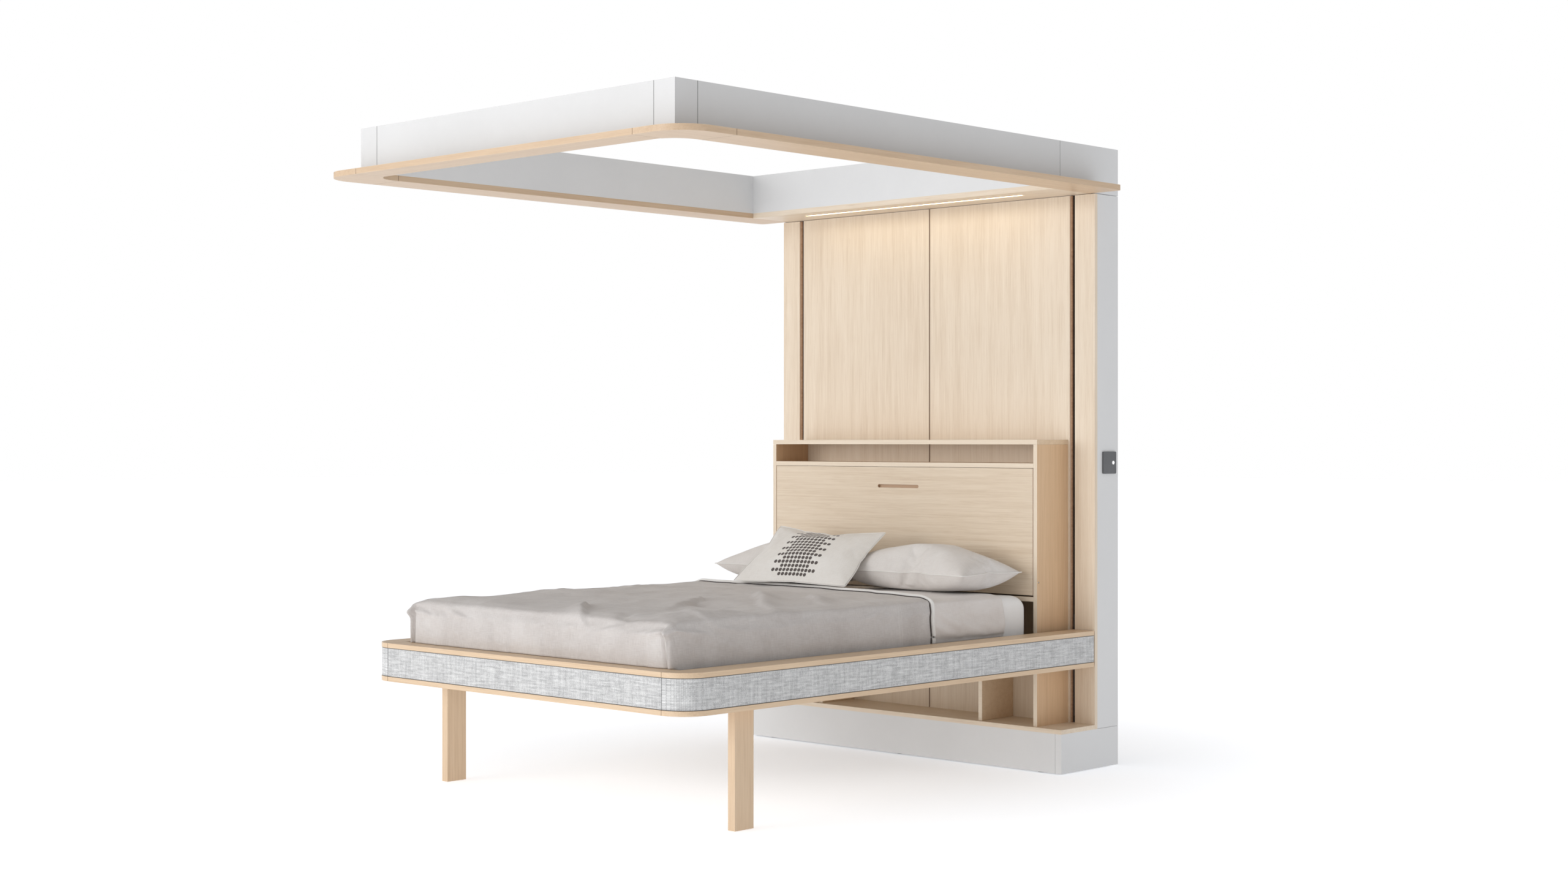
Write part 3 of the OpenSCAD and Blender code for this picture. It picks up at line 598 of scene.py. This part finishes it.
def cloth_on(obj, pressure=0.0, shrink=0.0, gravity=0.0, bend=0.5, pins=None, over=None, mass=0.3):
    mod = obj.modifiers.new("Cloth", "CLOTH")
    s = mod.settings
    s.quality = 5
    s.mass = mass
    s.tension_stiffness = s.compression_stiffness = 15
    s.shear_stiffness = 6
    s.bending_stiffness = bend
    s.air_damping = 1.5
    s.shrink_min = shrink
    s.effector_weights.gravity = gravity
    if pressure:
        s.use_pressure = True
        s.uniform_pressure_force = pressure
    if pins is not None:
        group = obj.vertex_groups.new(name="held")
        group.add([int(i) for i in pins], 1.0, "REPLACE")
        s.vertex_group_mass = "held"
    mod.collision_settings.use_collision = over is not None
    mod.collision_settings.use_self_collision = False
    mod.collision_settings.distance_min = 0.005
    if over is not None:
        mod.collision_settings.collection = over
    return mod


def solid_under(name, lo, hi):
    """A rounded block in a collection of its own, for one cloth to rest on."""
    points, faces, flat = box_shell(lo.x, hi.x, lo.y, hi.y, lo.z, hi.z, 0.034, 0.05, True)
    block = mesh_object(name, points, faces, flat, finish_of_slot["ticking"])
    group = bpy.data.collections.new(name)
    bpy.context.scene.collection.children.link(group)
    group.objects.link(block)
    block.modifiers.new("Collision", "COLLISION")
    block.collision.thickness_outer = 0.003
    block.collision.damping = 0.6
    block.collision.cloth_friction = 12.0
    return block, group


def settle(objs, frames):
    """Runs the cloth on these objects together and leaves each with the settled mesh and no modifier."""
    scene = bpy.context.scene
    for obj in objs:
        obj.modifiers["Cloth"].point_cache.frame_start = 1
        obj.modifiers["Cloth"].point_cache.frame_end = frames
    for f in range(1, frames + 1):
        scene.frame_set(f)
    graph = bpy.context.evaluated_depsgraph_get()
    shapes = {}
    for obj in objs:
        co = np.empty(len(obj.data.vertices) * 3, np.float32)
        obj.evaluated_get(graph).data.vertices.foreach_get("co", co)
        shapes[obj.name] = co.reshape(-1, 3).astype(float)
    for obj in objs:
        obj.modifiers.remove(obj.modifiers["Cloth"])
        set_points(obj, shapes[obj.name])
    scene.frame_set(1)


def capped(start, end, reach):
    move = end - start
    length = np.linalg.norm(move, axis=1, keepdims=True)
    return start + move * np.minimum(1.0, reach / np.maximum(length, 1e-9))


def apply_modifiers(obj):
    graph = bpy.context.evaluated_depsgraph_get()
    shaped = obj.evaluated_get(graph)
    mesh = bpy.data.meshes.new_from_object(shaped, preserve_all_data_layers=True, depsgraph=graph)
    obj.modifiers.clear()
    obj.data = mesh


def subdivide(obj):
    mod = obj.modifiers.new("Smooth", "SUBSURF")
    mod.levels = mod.render_levels = 1
    apply_modifiers(obj)


FLAT_CROWN = 0.012  # height of a sewn case before it is inflated


def sewn(name, width, length, pitch, finish, seed):
    """Two layers of cloth sewn round their edge, lying flat in the xy plane about the origin."""
    nx, ny = round(width / pitch), round(length / pitch)
    xs, ys = np.linspace(-width / 2, width / 2, nx + 1), np.linspace(-length / 2, length / 2, ny + 1)
    points, flat, faces, index = [], [], [], {}
    for layer in (1, -1):
        for i in range(nx + 1):
            for j in range(ny + 1):
                rim = i in (0, nx) or j in (0, ny)
                key = (i, j, 0 if rim else layer)
                if key not in index:
                    index[key] = len(points)
                    crown = 0.0
                    if not rim:
                        arch = math.sin(math.pi * i / nx) ** 0.5 * math.sin(math.pi * j / ny) ** 0.5
                        crown = FLAT_CROWN * layer * arch
                    points.append((xs[i], ys[j], crown))
                    flat.append((xs[i], ys[j] + (0.0 if layer == 1 else 2.0), float(layer)))
    for layer in (1, -1):
        for i in range(nx):
            for j in range(ny):
                ring = [(i, j), (i + 1, j), (i + 1, j + 1), (i, j + 1)]
                ids = [index[(a, b, 0 if a in (0, nx) or b in (0, ny) else layer)] for a, b in ring]
                faces.append(tuple(ids if layer == 1 else reversed(ids)))
    points = np.array(points)
    points[:, 2] += 0.0025 * wave(points, 0.11, seed) * (points[:, 2] != 0)
    obj = mesh_object(name, points, faces, flat, finish)
    rim = [index[(i, 0, 0)] for i in range(nx)] + [index[(nx, j, 0)] for j in range(ny)]
    rim += [index[(i, ny, 0)] for i in range(nx, 0, -1)] + [index[(0, j, 0)] for j in range(ny, 0, -1)]
    return obj, rim


def bead(name, line, radius, finish, closed=True, sides=8):
    """A thin round bead along a line of points, for seams, the hem and the duvet's dark edge line."""
    line = np.asarray(line, float)
    count = len(line)
    points, faces, flat = [], [], []
    run = 0.0
    for k in range(count):
        before = line[k - 1] if closed or k else line[0]
        after = line[(k + 1) % count] if closed or k < count - 1 else line[-1]
        ahead = Vector(after - before).normalized()
        side = ahead.cross(Vector((0, 0, 1)))
        side = side.normalized() if side.length > 1e-4 else Vector((1, 0, 0))
        up = side.cross(ahead)
        for s in range(sides):
            a = 2 * math.pi * s / sides
            points.append(Vector(line[k]) + (side * math.cos(a) + up * math.sin(a)) * radius)
            flat.append((run, a * radius, 0.0))
        run += float(np.linalg.norm(after - before)) / 2
    for k in range(count if closed else count - 1):
        n = (k + 1) % count
        for s in range(sides):
            t = (s + 1) % sides
            faces.append((k * sides + s, k * sides + t, n * sides + t, n * sides + s))
    if not closed:
        faces.append(tuple(range(sides - 1, -1, -1)))
        faces.append(tuple((count - 1) * sides + s for s in range(sides)))
    return mesh_object(name, points, faces, flat, finish)


def join(main, *others):
    bpy.ops.object.select_all(action="DESELECT")
    for o in (*others, main):
        o.select_set(True)
    bpy.context.view_layer.objects.active = main
    bpy.ops.object.join()
    return main


def fit_box(co, lo, hi, axes=(0, 1, 2)):
    """Scales the points so that their box is lo to hi on these axes."""
    a, b = co.min(0), co.max(0)
    out = co.copy()
    for k in axes:
        out[:, k] = lo[k] + (co[:, k] - a[k]) * (hi[k] - lo[k]) / (b[k] - a[k])
    return out


# the mattress in its fitted sheet: a crowned block whose sheet pulls to the corners

m_lo, m_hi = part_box("mattress")
points, faces, flat = box_shell(m_lo.x, m_hi.x, m_lo.y, m_hi.y + 0.003, m_lo.z, m_hi.z, 0.030, 0.016, True)
mattress = mesh_object("mattress_pad", points, faces, flat, finish_of_slot["ticking"])
centre = (m_lo + m_hi) / 2
rise = (points[:, 2] - m_lo.z) / (m_hi.z - m_lo.z)
flank = np.minimum(points[:, 0] - m_lo.x, m_hi.x - points[:, 0])
to_head = m_hi.y - points[:, 1]
corner = np.hypot(np.maximum(0.0, flank), np.maximum(0.0, to_head))
pull = np.exp(-corner / 0.16)
turn = np.arctan2(to_head, np.maximum(flank, 1e-3))
ruck = np.sin(turn * 22 + 5 * wave(points, 0.2, 3.0)) * pull
dip = 0.0035 + 0.0030 * ruck + 0.0020 * wave(points, 0.16, 2.0) + 0.0012 * wave(points, 0.05, 8.0)
points[:, 2] -= step(rise, 0.6, 1.0) * dip
soft_edge = 0.016 * (1 - step(to_head, -0.003, 0.05)) + 0.009 * (1 - step(flank, 0.0, 0.04))
points[:, 2] -= step(rise, 0.5, 1.0) * soft_edge
slack = 0.0022 * wave(points * np.array([1, 1, 0.25]), 0.045, 5.0) + 0.0016 * wave(points, 0.11, 6.0) - 0.0022
side_face = step(np.abs(points[:, 0] - centre.x), (m_hi.x - m_lo.x) / 2 - 0.03, (m_hi.x - m_lo.x) / 2)
end_face = step(np.abs(points[:, 1] - centre.y), (m_hi.y - m_lo.y) / 2 - 0.03, (m_hi.y - m_lo.y) / 2)
points[:, 0] += np.sign(points[:, 0] - centre.x) * side_face * slack
points[:, 1] += np.sign(points[:, 1] - centre.y) * end_face * slack
set_points(mattress, points)

# duvet and top sheet: fitted trays with a little spare cloth, settled over the mattress by cloth simulation

d_lo, d_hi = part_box("duvet")
t_lo, t_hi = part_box("top_sheet")
DUVET_T, SHEET_T = 0.009, 0.0022  # thickness
DUVET_R, SHEET_R = 0.036, 0.034  # edge radius
HEAD_FROM_WALL = 0.862  # the duvet's head edge


def tray_cloth(name, lo, hi, pitch, finish, radius, open_foot=False):
    points, faces, flat = box_shell(lo.x, hi.x, lo.y, hi.y, lo.z, hi.z, radius, pitch, False)
    if not open_foot:
        return mesh_object(name, points, faces, flat, finish), points
    keep = np.array([all(points[i][1] > lo.y + radius + 1e-4 for i in f) for f in faces])
    faces = [f for f, k in zip(faces, keep) if k]
    used = sorted({i for f in faces for i in f})
    at = {old: new for new, old in enumerate(used)}
    faces = [tuple(at[i] for i in f) for f in faces]
    return mesh_object(name, points[used], faces, flat[used], finish), points[used]


tray_lo = Vector((d_lo.x + 0.003, d_lo.y + 0.004, d_lo.z - 0.012))
tray_hi = Vector((d_hi.x - 0.003, d_hi.y, d_hi.z - 0.005))
duvet, duvet_start = tray_cloth(
    "duvet_cover", tray_lo, tray_hi, 0.0125, finish_of_slot["duvet_linen"], DUVET_R)
slant = 0.125 * step(duvet_start[:, 0], 0.10, d_hi.x)
head_line = WALL - HEAD_FROM_WALL - slant - 0.010 * np.sin(duvet_start[:, 0] * 9.0)
near_head = step(duvet_start[:, 1], d_hi.y - 0.40, d_hi.y)
duvet_start[:, 1] += (head_line - d_hi.y) * near_head
set_points(duvet, duvet_start)
cloth_map = np.empty(len(duvet_start) * 3, np.float32)
duvet.data.attributes["flat"].data.foreach_get("vector", cloth_map)
cloth_map[2::3] = head_line - duvet_start[:, 1]
duvet.data.attributes["flat"].data.foreach_set("vector", cloth_map)

sheet_tail = d_hi.y - 0.13
tray_lo = Vector((t_lo.x + 0.002, sheet_tail - 0.06, t_lo.z - 0.010))
tray_hi = Vector((t_hi.x - 0.002, t_hi.y, t_hi.z - 0.003))
sheet, sheet_start = tray_cloth(
    "top_sheet_cloth", tray_lo, tray_hi, 0.012, finish_of_slot["sheet_linen"], SHEET_R, open_foot=True)
sway = 0.006 * np.sin(sheet_start[:, 0] * 7.0 + 1.0)
sheet_start[:, 1] += sway * step(sheet_start[:, 1], t_hi.y - 0.1, t_hi.y)
set_points(sheet, sheet_start)

pillow, pillow_rim = sewn("pillow_cloth", 0.690, 0.425, 0.0125, pillow_finish, 4.0)
cushion, cushion_rim = sewn("cushion_cloth", 0.575, 0.375, 0.0105, finish_of_slot["cushion_cotton"], 9.0)
pillow_start, cushion_start = points_of(pillow), points_of(cushion)
cushion.location = (0, 0, 3.0)
pillow.location = (0, 0, 4.0)

inset = Vector((0.013, 0.013, 0.0))
core_lo = d_lo + inset - Vector((0, 0, 0.05))
core_hi = Vector((d_hi.x - inset.x, m_hi.y, d_hi.z - 0.015))
under_duvet, duvet_group = solid_under("under_duvet", core_lo, core_hi)
under_sheet, sheet_group = solid_under("under_sheet", m_lo, m_hi - Vector((0, 0, 0.001)))
low = np.where(duvet_start[:, 2] < d_lo.z + 0.004)[0]
cloth_on(duvet, shrink=-0.024, gravity=0.35, bend=1.4, pins=low, over=duvet_group)
at_foot = sheet_start[:, 1] < sheet_start[:, 1].min() + 0.014
held = np.where((sheet_start[:, 2] < t_lo.z + 0.012) | at_foot)[0]
cloth_on(sheet, shrink=-0.018, gravity=0.6, bend=0.5, pins=held, over=sheet_group)
cloth_on(pillow, pressure=5.0, bend=0.5)
cloth_on(cushion, pressure=4.0, bend=0.8)
settle([duvet, sheet, pillow, cushion], 26)
bpy.data.objects.remove(under_duvet)
bpy.data.objects.remove(under_sheet)
for piece, start, upper, lower in ((pillow, pillow_start, 0.7, 0.7), (cushion, cushion_start, 0.4, 0.10)):
    co = points_of(piece)
    share = (lower + (upper - lower) * step(start[:, 1], -0.15, 0.10))[:, None]
    co[:, :2] = start[:, :2] + (co[:, :2] - start[:, :2]) * share
    set_points(piece, co)
settled = capped(duvet_start, points_of(duvet), 0.030)
on_top = step(duvet_start[:, 2], d_hi.z - 0.075, d_hi.z - 0.012)[:, None]
set_points(duvet, duvet_start + (settled - duvet_start) * (0.14 + 0.86 * on_top))
set_points(sheet, capped(sheet_start, points_of(sheet), 0.016))
cushion.location = pillow.location = (0, 0, 0)

# duvet: folds raised on its settled surface, tucked foot corners, and the bottom drawn in over the foot rail


def flat_of(obj):
    flat = np.empty(len(obj.data.vertices) * 3, np.float32)
    obj.data.attributes["flat"].data.foreach_get("vector", flat)
    return flat.reshape(-1, 3).astype(float)


def push_out(obj, height):
    """Moves each point out along its normal."""
    normal = np.empty(len(obj.data.vertices) * 3, np.float32)
    obj.data.vertices.foreach_get("normal", normal)
    set_points(obj, points_of(obj) + normal.reshape(-1, 3) * height[:, None])


FOLDS = (
    # from u, v to u, v on the unfolded cloth, then height and the width of its steep and its slack side
    (-0.05, -0.77, 0.31, -1.12, 0.011, 0.012, 0.040),
    (0.03, -0.30, 0.40, -0.78, 0.010, 0.016, 0.055),
    (0.60, -0.52, -0.02, 0.15, 0.014, 0.016, 0.048),
    (0.56, -0.22, 0.30, 0.10, 0.009, 0.014, 0.040),
    (-0.62, -0.48, -0.28, -0.30, 0.008, 0.040, 0.090),
    (-0.58, -0.98, -0.20, -0.86, 0.007, 0.030, 0.080),
    (0.52, -0.96, 0.68, -0.62, 0.009, 0.016, 0.050),
    (0.72, -0.80, 0.45, -0.88, 0.006, 0.018, 0.045),
    (-0.35, -0.10, -0.10, 0.20, 0.006, 0.025, 0.060),
    (0.16, -0.52, 0.48, -0.46, -0.008, 0.030, 0.045),
    (0.35, -0.92, 0.60, -1.02, -0.006, 0.025, 0.040),
    (0.74, -0.40, 0.66, 0.05, 0.005, 0.015, 0.040),
)


def folds(flat):
    height = np.zeros(len(flat))
    for u0, v0, u1, v1, tall, steep, slack_side in FOLDS:
        run = np.array([u1 - u0, v1 - v0])
        length = np.linalg.norm(run)
        run /= length
        from_start = flat[:, :2] - (u0, v0)
        t = from_start @ run / length
        off = from_start @ np.array([-run[1], run[0]])
        off = off - 0.030 * np.sin(t * 4.1 + 9 * u0) - 0.012 * np.sin(t * 9.7)
        width = np.where(off > 0, steep, slack_side) * (0.8 + 0.5 * np.clip(t, 0, 1))
        height += 1.45 * tall * np.exp(-((off / width) ** 2)) * step(t, -0.15, 0.35) * (1 - step(t, 0.6, 1.1))
    return height


subdivide(duvet)
flat = flat_of(duvet)
cloth = np.column_stack([flat[:, :2], np.zeros(len(flat))])
rumple = 0.0052 * wave(cloth, 0.17, 12.0) + 0.0030 * wave(cloth * np.array([1.0, 0.6, 1.0]), 0.07, 14.0)
ridge = (1 - np.abs(wave(cloth * np.array([1.0, 0.55, 1.0]), 0.15, 17.0)) * 3.0).clip(0, 1) ** 2
rumple += 0.0055 * ridge * (wave(cloth, 0.24, 18.0) + 0.35)
hang = step(np.abs(flat[:, 0]), 0.68, 0.74) + step(-flat[:, 1], -d_lo.y - 0.02, -d_lo.y + 0.04)
upright = np.where(np.abs(flat[:, 0]) > 0.70, flat[:, 1], flat[:, 0])
fall = np.column_stack([upright, 0.14 * (flat[:, 0] + flat[:, 1]), np.zeros(len(flat))])
creases = 0.0034 * wave(fall, 0.055, 22.0) + 0.0022 * wave(fall, 0.024, 23.0)
still = step(flat[:, 2], 0.0, 0.05)
hanging = np.clip(hang, 0, 1)
relief = rumple * (1 - 0.55 * hanging) + creases * hanging + folds(flat)
push_out(duvet, relief * (0.25 + 0.75 * still))

co = points_of(duvet)
bend_at = np.array([-0.656, d_lo.y + 0.051])
turned = np.minimum(co[:, :2] - bend_at, 0.0)
spread = np.linalg.norm(turned, axis=1)
outside = (turned[:, 0] < 0) & (turned[:, 1] < 0) & (spread > 0.050)
co[outside, :2] = bend_at + turned[outside] * (0.050 / spread[outside])[:, None]
front = step(-(co[:, 1] - (d_lo.y + 0.05)), 0.0, 0.03)
for side in (1.0, -1.0):
    edge = side * co[:, 0]
    down = step(-(co[:, 2] - (d_hi.z - 0.022)), 0.0, 0.03)
    seam_at = 0.672 + 0.012 * (d_hi.z - co[:, 2]) / (d_hi.z - d_lo.z)
    lap = step(edge, seam_at - 0.003, seam_at + 0.004) * (1 - step(edge, seam_at + 0.018, seam_at + 0.045))
    ditch = np.exp(-(((edge - seam_at + 0.007) / 0.008) ** 2))
    co[:, 1] += front * down * (-0.012 * lap + 0.018 * ditch)
    knot = np.exp(-(((edge - 0.688) / 0.017) ** 2) - (((co[:, 2] - 0.656) / 0.014) ** 2))
    co[:, 1] -= front * 0.013 * knot
    co[:, 0] += side * front * 0.005 * knot
flare = (1 - step(co[:, 2], 0.540, 0.640)) * step(np.abs(co[:, 0]), 0.67, 0.69) * step(co[:, 1], -0.95, -0.80)
co[:, 0] += np.sign(co[:, 0]) * 0.007 * flare
over_rail = step(-co[:, 1], 1.012, 1.034)
co[:, 2] += over_rail * 0.0095 * (1 - step(co[:, 2], 0.535, 0.61))
co[:, 2] = np.where(over_rail > 0.99, np.maximum(co[:, 2], 0.5442), co[:, 2])
foot_limit = d_lo.y - 0.030
co[:, 1] = np.maximum(co[:, 1], foot_limit)
set_points(duvet, co)


def head_edge(obj, away, lift, out):
    """The line across the cloth at this distance from its head edge, lifted off the surface and moved out."""
    flat, co = flat_of(obj), points_of(obj)
    order = np.argsort(flat[:, 0])
    line = []
    for u in np.arange(flat[:, 0].min() + 0.002, flat[:, 0].max() - 0.001, 0.008):
        lo_i, hi_i = np.searchsorted(flat[order, 0], (u - 0.010, u + 0.010))
        near = order[lo_i:hi_i]
        reach = np.hypot((flat[near, 0] - u) / 0.004, (flat[near, 2] - away) / 0.004)
        weight = np.exp(-reach) + 1e-12
        p = (co[near] * weight[:, None]).sum(0) / weight.sum()
        line.append(p)
    line = np.array(line)
    for _ in range(2):
        line[1:-1] = (line[:-2] + line[1:-1] * 2 + line[2:]) / 4
    top = np.clip(1 - np.abs(line[:, 0]) / (d_hi.x - 0.036), 0, 1) > 0
    sideways = np.where(top, 0, np.sign(line[:, 0]))
    normal = np.column_stack([sideways, np.zeros(len(line)), np.where(top, 1, 0)])
    blend = normal.astype(float)
    for _ in range(6):
        blend[1:-1] = (blend[:-2] + blend[1:-1] * 2 + blend[2:]) / 4
    return line + blend * lift + np.array([0, out, 0])


hem_line = head_edge(duvet, 0.0, 0.0035, 0.0030)
# a thin dark bead just in front of the cream hem, drawing the dark line along the duvet's head edge
dark_line_path = head_edge(duvet, 0.0110, 0.0012, 0.0)

# pillows: one settled shape, flattened below where it lies, and its mirror image


def bedded(co, high, low):
    """The top half takes height high; the lower half flattens to depth low."""
    top, bottom = co[:, 2].max(), -co[:, 2].min()
    up = np.clip(co[:, 2] / top, 0, 1) * high
    down = np.clip(-co[:, 2] / bottom, 0, 1)
    return np.column_stack([co[:, 0], co[:, 1], up - low * np.tanh(down * 1.9) / math.tanh(1.9)])


pillow_shape = bedded(points_of(pillow), 0.106, 0.073)
cushion_shape = points_of(cushion)


def raise_seams(obj, rim, radius):
    return join(obj, bead("seam", points_of(obj)[rim], radius, seam_finish))


def placed_pillow(name, node, mirror, seed):
    obj = pillow.copy()
    obj.data = pillow.data.copy()
    obj.name = name
    bpy.context.scene.collection.objects.link(obj)
    lo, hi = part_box(node)
    co = pillow_shape.copy()
    co[:, 2] += 0.004 * wave(co, 0.16, seed) * step(co[:, 2], 0.0, 0.05)
    if mirror:
        co[:, 0] *= -1
        obj.data.flip_normals()
    wide = (-0.026, 0.0) if mirror else (0.0, 0.024)
    low = (lo.x + wide[0], lo.y - 0.018, lo.z + 0.001)
    high = (hi.x + wide[1], hi.y - 0.002, hi.z + 0.004)
    co = fit_box(co, low, high)
    set_points(obj, co)
    raise_seams(obj, pillow_rim, 0.0022)
    subdivide(obj)
    return obj


pillow_right = placed_pillow("pillow_right_cloth", "pillow_right", False, 2.0)
pillow_left = placed_pillow("pillow_left_cloth", "pillow_left", True, 7.0)
bpy.data.objects.remove(pillow)

# accent cushion: leans back on the pillows

c_lo, c_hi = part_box("accent_cushion")
co = fit_box(cushion_shape, (-0.287, -0.176, -0.058), (0.287, 0.176, 0.058))
co[:, 1] -= 0.011 * co[:, 0] / 0.287 * step(co[:, 1], -0.05, 0.176)
set_points(cushion, co)
raise_seams(cushion, cushion_rim, 0.0018)
subdivide(cushion)
tilt = Matrix.Rotation(math.radians(4.0), 3, "Z") @ Matrix.Rotation(math.radians(36.0), 3, "X")
co = points_of(cushion) @ np.array(tilt).T
co += np.array((c_lo + c_hi) / 2) - (co.min(0) + co.max(0)) / 2
set_points(cushion, co)
cushion.name = "accent_cushion_cloth"


def thicken(obj, thickness, offset):
    mod = obj.modifiers.new("Solidify", "SOLIDIFY")
    mod.thickness = thickness
    mod.offset = offset
    mod.use_even_offset = False
    apply_modifiers(obj)


thicken(duvet, DUVET_T, -1.0)
thicken(sheet, SHEET_T, 0.0)
for piece in (sheet, mattress):
    subdivide(piece)
hem = bead("duvet_hem", hem_line, 0.0078, seam_finish, False, 12)
join(duvet, hem, bead("duvet_dark_line", dark_line_path, 0.0022, dark_line_finish, False))

for piece, node, fill in (
    (mattress, "mattress", 0.95),
    (duvet, "duvet", 0.35),
    (pillow_left, "pillow_left", 0.75),
    (pillow_right, "pillow_right", 0.75),
    (cushion, "accent_cushion", 0.7),
):
    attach(piece, "bed")
    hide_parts(node)
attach(sheet, "bed")
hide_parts("top_sheet")
for piece in (pillow_left, pillow_right, cushion):
    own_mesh(piece)

# ---------------------------------------------------------------- floor, light and camera


def stage_floor():
    half = 60.0
    mesh = bpy.data.meshes.new("floor")
    corners = [(-half, -half, 0), (half, -half, 0), (half, half, 0), (-half, half, 0)]
    mesh.from_pydata(corners, [], [(0, 1, 2, 3)])
    floor = bpy.data.objects.new("floor", mesh)
    bpy.context.scene.collection.objects.link(floor)
    m = Mat("floor_glow_painted_shadow", Roughness=0.75, Specular_IOR_Level=0.2, Emission_Color=(0.965, 0.975, 1.0, 1.0))
    x, y, _ = m.split(m.xyz)
    # painted shadow: the floor's glow is weaker near the bed's base, a soft dark patch around it
    off_x = m.math("POWER", m.math("ADD", x, 0.15), 2.0)
    off_y = m.math("POWER", m.math("SUBTRACT", y, 0.50), 2.0)
    from_base = m.math("SQRT", m.math("ADD", off_x, off_y))
    m.put(m.bsdf.inputs["Emission Strength"], m.levels(from_base, 0.3, 2.1, 0.32, 0.60))
    shade = m.ramp(m.noise(m.xyz, 0.6, 2.0), (0.3, (0.868, 0.875, 0.89)), (0.7, (0.88, 0.887, 0.90)))
    mesh.materials.append(m.finish(shade))
    floor.location.z = -0.0005


def area_light(name, place, aim, size, power, colour=(1.0, 1.0, 1.0)):
    data = bpy.data.lights.new(name, "AREA")
    data.shape = "RECTANGLE"
    data.size, data.size_y = size
    data.energy = power
    data.color = colour
    lamp = bpy.data.objects.new(name, data)
    bpy.context.scene.collection.objects.link(lamp)
    lamp.location = place
    lamp.rotation_euler = (Vector(aim) - Vector(place)).to_track_quat("-Z", "Y").to_euler()


stage_floor()
area_light("key", (-4.0, -15.5, 4.0), (0.0, 0.4, 1.2), (12.0, 7.0), 1120.0, (1.0, 0.996, 0.990))

world = bpy.data.worlds.new("studio")
bpy.context.scene.world = world
world.use_nodes = True
tree = world.node_tree
tree.nodes.clear()
out = tree.nodes.new("ShaderNodeOutputWorld")
blend = tree.nodes.new("ShaderNodeMixShader")
path = tree.nodes.new("ShaderNodeLightPath")
soft = tree.nodes.new("ShaderNodeBackground")
seen = tree.nodes.new("ShaderNodeBackground")
soft.inputs[0].default_value = (0.985, 0.992, 1.0, 1.0)
way_up = tree.nodes.new("ShaderNodeSeparateXYZ")
fade = tree.nodes.new("ShaderNodeMapRange")
for socket, value in zip(list(fade.inputs)[1:5], (0.0, 1.0, 0.62, 0.47)):
    socket.default_value = value
tree.links.new(tree.nodes.new("ShaderNodeTexCoord").outputs["Generated"], way_up.inputs[0])
tree.links.new(way_up.outputs[2], fade.inputs[0])
tree.links.new(fade.outputs[0], soft.inputs[1])
seen.inputs[0].default_value = (1.0, 1.0, 1.0, 1.0)
seen.inputs[1].default_value = 1.0
tree.links.new(path.outputs["Is Camera Ray"], blend.inputs[0])
tree.links.new(soft.outputs[0], blend.inputs[1])
tree.links.new(seen.outputs[0], blend.inputs[2])
tree.links.new(blend.outputs[0], out.inputs[0])

camera = bpy.data.objects.new("camera", bpy.data.cameras.new("camera"))
bpy.context.scene.collection.objects.link(camera)
camera.location = (5.8766, -5.9448, 1.2853)  # solved from the straight edges of the object
camera.rotation_euler = (math.radians(90.0), 0.0, math.radians(43.631))
camera.data.sensor_width = 36.0
camera.data.lens = 50.35
bpy.context.scene.camera = camera
bpy.context.scene.view_settings.view_transform = "Standard"
